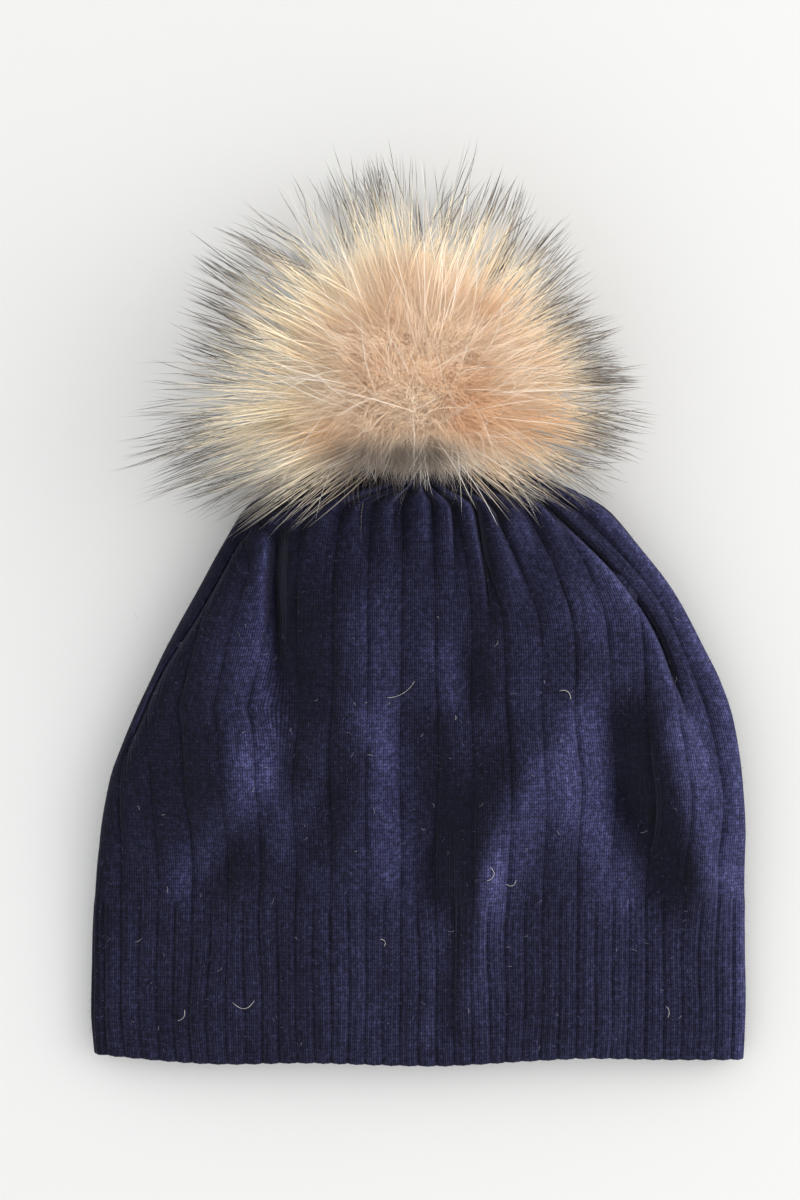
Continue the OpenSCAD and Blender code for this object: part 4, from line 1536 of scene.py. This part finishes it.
def shank():
    """The cord from the socket's cap to the button inside the pom, with its knot below."""
    knot_high = box_mm("pom_shank_cord")[1]
    cord_r = 0.72
    coil_r = 1.27
    reach = knot_high[0] - cord_r
    turn = np.linspace(0, 3 * 2 * math.pi, 150)
    wind = PIVOT + np.outer(np.linspace(-reach, reach, 150), ACROSS) \
        + coil_r * (np.outer(np.cos(turn), AXIS) + np.outer(np.sin(turn), UPHILL))
    button_low, button_high = box_mm("anchor_button")
    stem_start = along_of(PIVOT) + 0.6
    stem_end = along_of((button_low + button_high) / 2) - 1.0
    stem = crown_place(0.0, 0.0, np.linspace(stem_start, stem_end, 60))
    return make_piece("shank_cord_twist",
                      [twisted(wind, cord_r, 2.6), twisted(stem, 1.15, 4.0, strands=3)],
                      GATHER, "pom")


shank_cord = shank()
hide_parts("pom_shank_cord")


# Felt patch inside the crown
def felt_wobble(radius, along, angle):
    rough = np.sin(7 * angle + 2 * radius) * 0.05 + np.sin(23 * angle + radius) * 0.03
    return radius + rough * 2 * smooth_step(4.0, 8.4, radius), along + rough


patch = make_piece("felt_patch", [lathe(filled(rounded(2.5, 8.3, -3.75, -2.62, 0.35), 0.5), 180,
                                        felt_wobble)],
                   fibre_look("navy_felt", srgb(20, 20, 36), srgb(62, 63, 92), 1100.0, 0.3),
                   "hat")
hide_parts("crown_patch")


# Pelt: a drawn-up ball of tanned skin, gathered into its mouth, and the wadding inside it
def ball(radius, low_angle, steps):
    mid = along_of(PELT_MID)
    return [(radius * math.sin(a), mid + radius * math.cos(a))
            for a in np.linspace(0.02, low_angle, steps)]


def gathers(radius, along, angle):
    mouth = smooth_step(30.0, 13.0, along) * smooth_step(30.0, 6.0, radius)
    fold = np.cos(17 * angle + 0.6 * np.sin(3 * angle)) * mouth
    dent = ripples(crown_place(radius * np.cos(angle), radius * np.sin(angle), along), 12.0, 91)
    return radius * (1 - 0.05 * np.abs(fold)), along + 0.35 * (fold + 1) * mouth - 0.1 * dent


PELT_LOOK = hide_look("tanned_pelt", srgb(150, 118, 88), srgb(214, 184, 148), 900.0, 0.25)
mouth_angle = math.pi - 0.21
pelt = make_piece("drawn_pelt",
                  [lathe(ball(PELT_R - 0.1, mouth_angle, 70)
                         + ball(PELT_R - 1.1, mouth_angle, 70)[::-1], 200, gathers)],
                  PELT_LOOK, "pom")
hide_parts("pom_pelt")


def wadding():
    low, high = box_mm("pom_stuffing")
    radius = (high[0] - low[0]) / 2 - 0.9
    mid = along_of(PELT_MID)
    theta = np.linspace(0.03, math.pi - 0.25, 70)[:, None]
    phi = 2 * math.pi * np.arange(120)[None, :] / 120
    way = np.stack([np.sin(theta) * np.cos(phi), np.sin(theta) * np.sin(phi),
                    np.cos(theta) + 0 * phi], -1)
    lumps = ripples(way * radius, 7.0, 95) * 0.35 + ripples(way * radius, 2.6, 96) * 0.12
    r = radius + lumps
    points = crown_place(r * way[..., 0], r * way[..., 1], mid + r * way[..., 2])
    n, m = r.shape
    ends = np.stack([points[0].mean(0), points[-1].mean(0)])
    part = with_ends(points.reshape(-1, 3), ends, grid_faces(n, m, False, True), n, m)
    obj = make_piece("fibre_wadding", [part],
                     fibre_look("white_wadding", srgb(196, 195, 190), srgb(244, 243, 240), 500.0, 0.6),
                     "pom")
    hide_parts("pom_stuffing")


wadding()

# Hard parts keep their CAD shape
NICKEL = metal_look("nickel_plate", srgb(150, 148, 142), srgb(214, 212, 206), 420.0, 0.28, 0.03)
WIRE = metal_look("spring_steel", srgb(130, 128, 124), srgb(190, 188, 184), 700.0, 0.34, 0.03)
DISC = hide_look("taupe_leather", srgb(44, 38, 36), srgb(92, 80, 74), 1100.0, 0.18)


def button_look():
    look = Nodes("button_resin")
    place = look.place()
    swirl = look.noise(place, 160.0, 4.0, 0.6)
    look.colour(look.ramp(swirl, [(0.3, srgb(206, 202, 192)), (0.7, srgb(236, 233, 226))]))
    look.bump(look.noise(place, 2600.0, 2.0), 0.01, 0.4)
    look.set(Roughness=0.28, Coat_Weight=0.3)
    return look.material


BUTTON = button_look()
HARD = {"stud_eyelet": (NICKEL, 0.12), "snap_stud": (NICKEL, 0.12), "snap_socket": (NICKEL, 0.12),
        "socket_cap": (NICKEL, 0.12), "socket_spring": (WIRE, 0.0), "pom_base_disc": (DISC, 0.25),
        "anchor_button": (BUTTON, 0.2)}
for name, (material, edge) in HARD.items():
    part = frame["nodes"][name]
    part.material_slots[0].material = material
    if edge:
        bevel = part.modifiers.new("edge", "BEVEL")
        bevel.width = edge * MM
        bevel.segments = 2
        bevel.limit_method = "ANGLE"


# ---- Lint and cloth ---------------------------------------------------------------------------------

# Pale stray fibres on the knit: across the hat, from its hem, length, lie in degrees, and curl
LINT = [(-58.9, 18.6, 7.5, 8, 2.6), (-79.9, 14.6, 4.5, 60, 1.2), (-6.4, 124.6, 13.0, 28, 2.2),
        (49.0, 123.9, 5.0, 145, 1.6), (12.2, 115.8, 1.3, 90, 0.2), (24.0, 63.6, 5.0, 80, 2.0),
        (84.0, 16.2, 4.0, 100, 0.8), (31.0, 60.0, 4.0, 20, 1.6), (-12.0, 40.0, 3.0, 120, 1.2)]


def lie_on_knit(x, t):
    """The upper face of the knit at a place across the hat and a distance from its hem."""
    row = int(np.abs(all_t - t).argmin())
    upper = outer[row, :COLUMNS // 2]
    return upper[int(np.abs(upper[:, 0] - x).argmin())]


def lint():
    own = np.random.default_rng(5)
    marks = LINT + [(own.uniform(-98, 98), own.uniform(4, 150), own.uniform(0.6, 2.4),
                     own.uniform(0, 180), own.uniform(0, 0.4)) for _ in range(90)]
    lines, widths = [], []
    for k, (x, t, length, lie, curl) in enumerate(marks):
        u = np.linspace(-0.5, 0.5, 12)
        turn = math.radians(lie)
        bend = curl * (u * u * 4 - 0.5)
        dx = u * length * math.cos(turn) - bend * math.sin(turn)
        dt = u * length * math.sin(turn) + bend * math.cos(turn)
        place = np.array([lie_on_knit(x + a, t + b) for a, b in zip(dx, dt)])
        place[:, 0] = x + dx
        place[:, 1] = HEM_Y + t + dt
        place[:, 2] = np.convolve(np.pad(place[:, 2], 2, "edge"), np.ones(5) / 5, "valid") + 0.35
        lines.append(place)
        widths.append(0.11 if k < len(LINT) else own.uniform(0.06, 0.1))
    lines = np.array(lines)
    shade = np.array([1.0 if k < len(LINT) else own.uniform(0.1, 0.6) for k in range(len(marks))])
    obj = strand_mesh("lint", lines, np.array(widths)[:, None] * np.ones((1, 12)),
                      {"tone": shade[:, None] * np.ones((1, 12))})
    return wear(obj, plain_hair("pale_lint", srgb(96, 98, 128), srgb(216, 210, 200)), "hat")


lint()
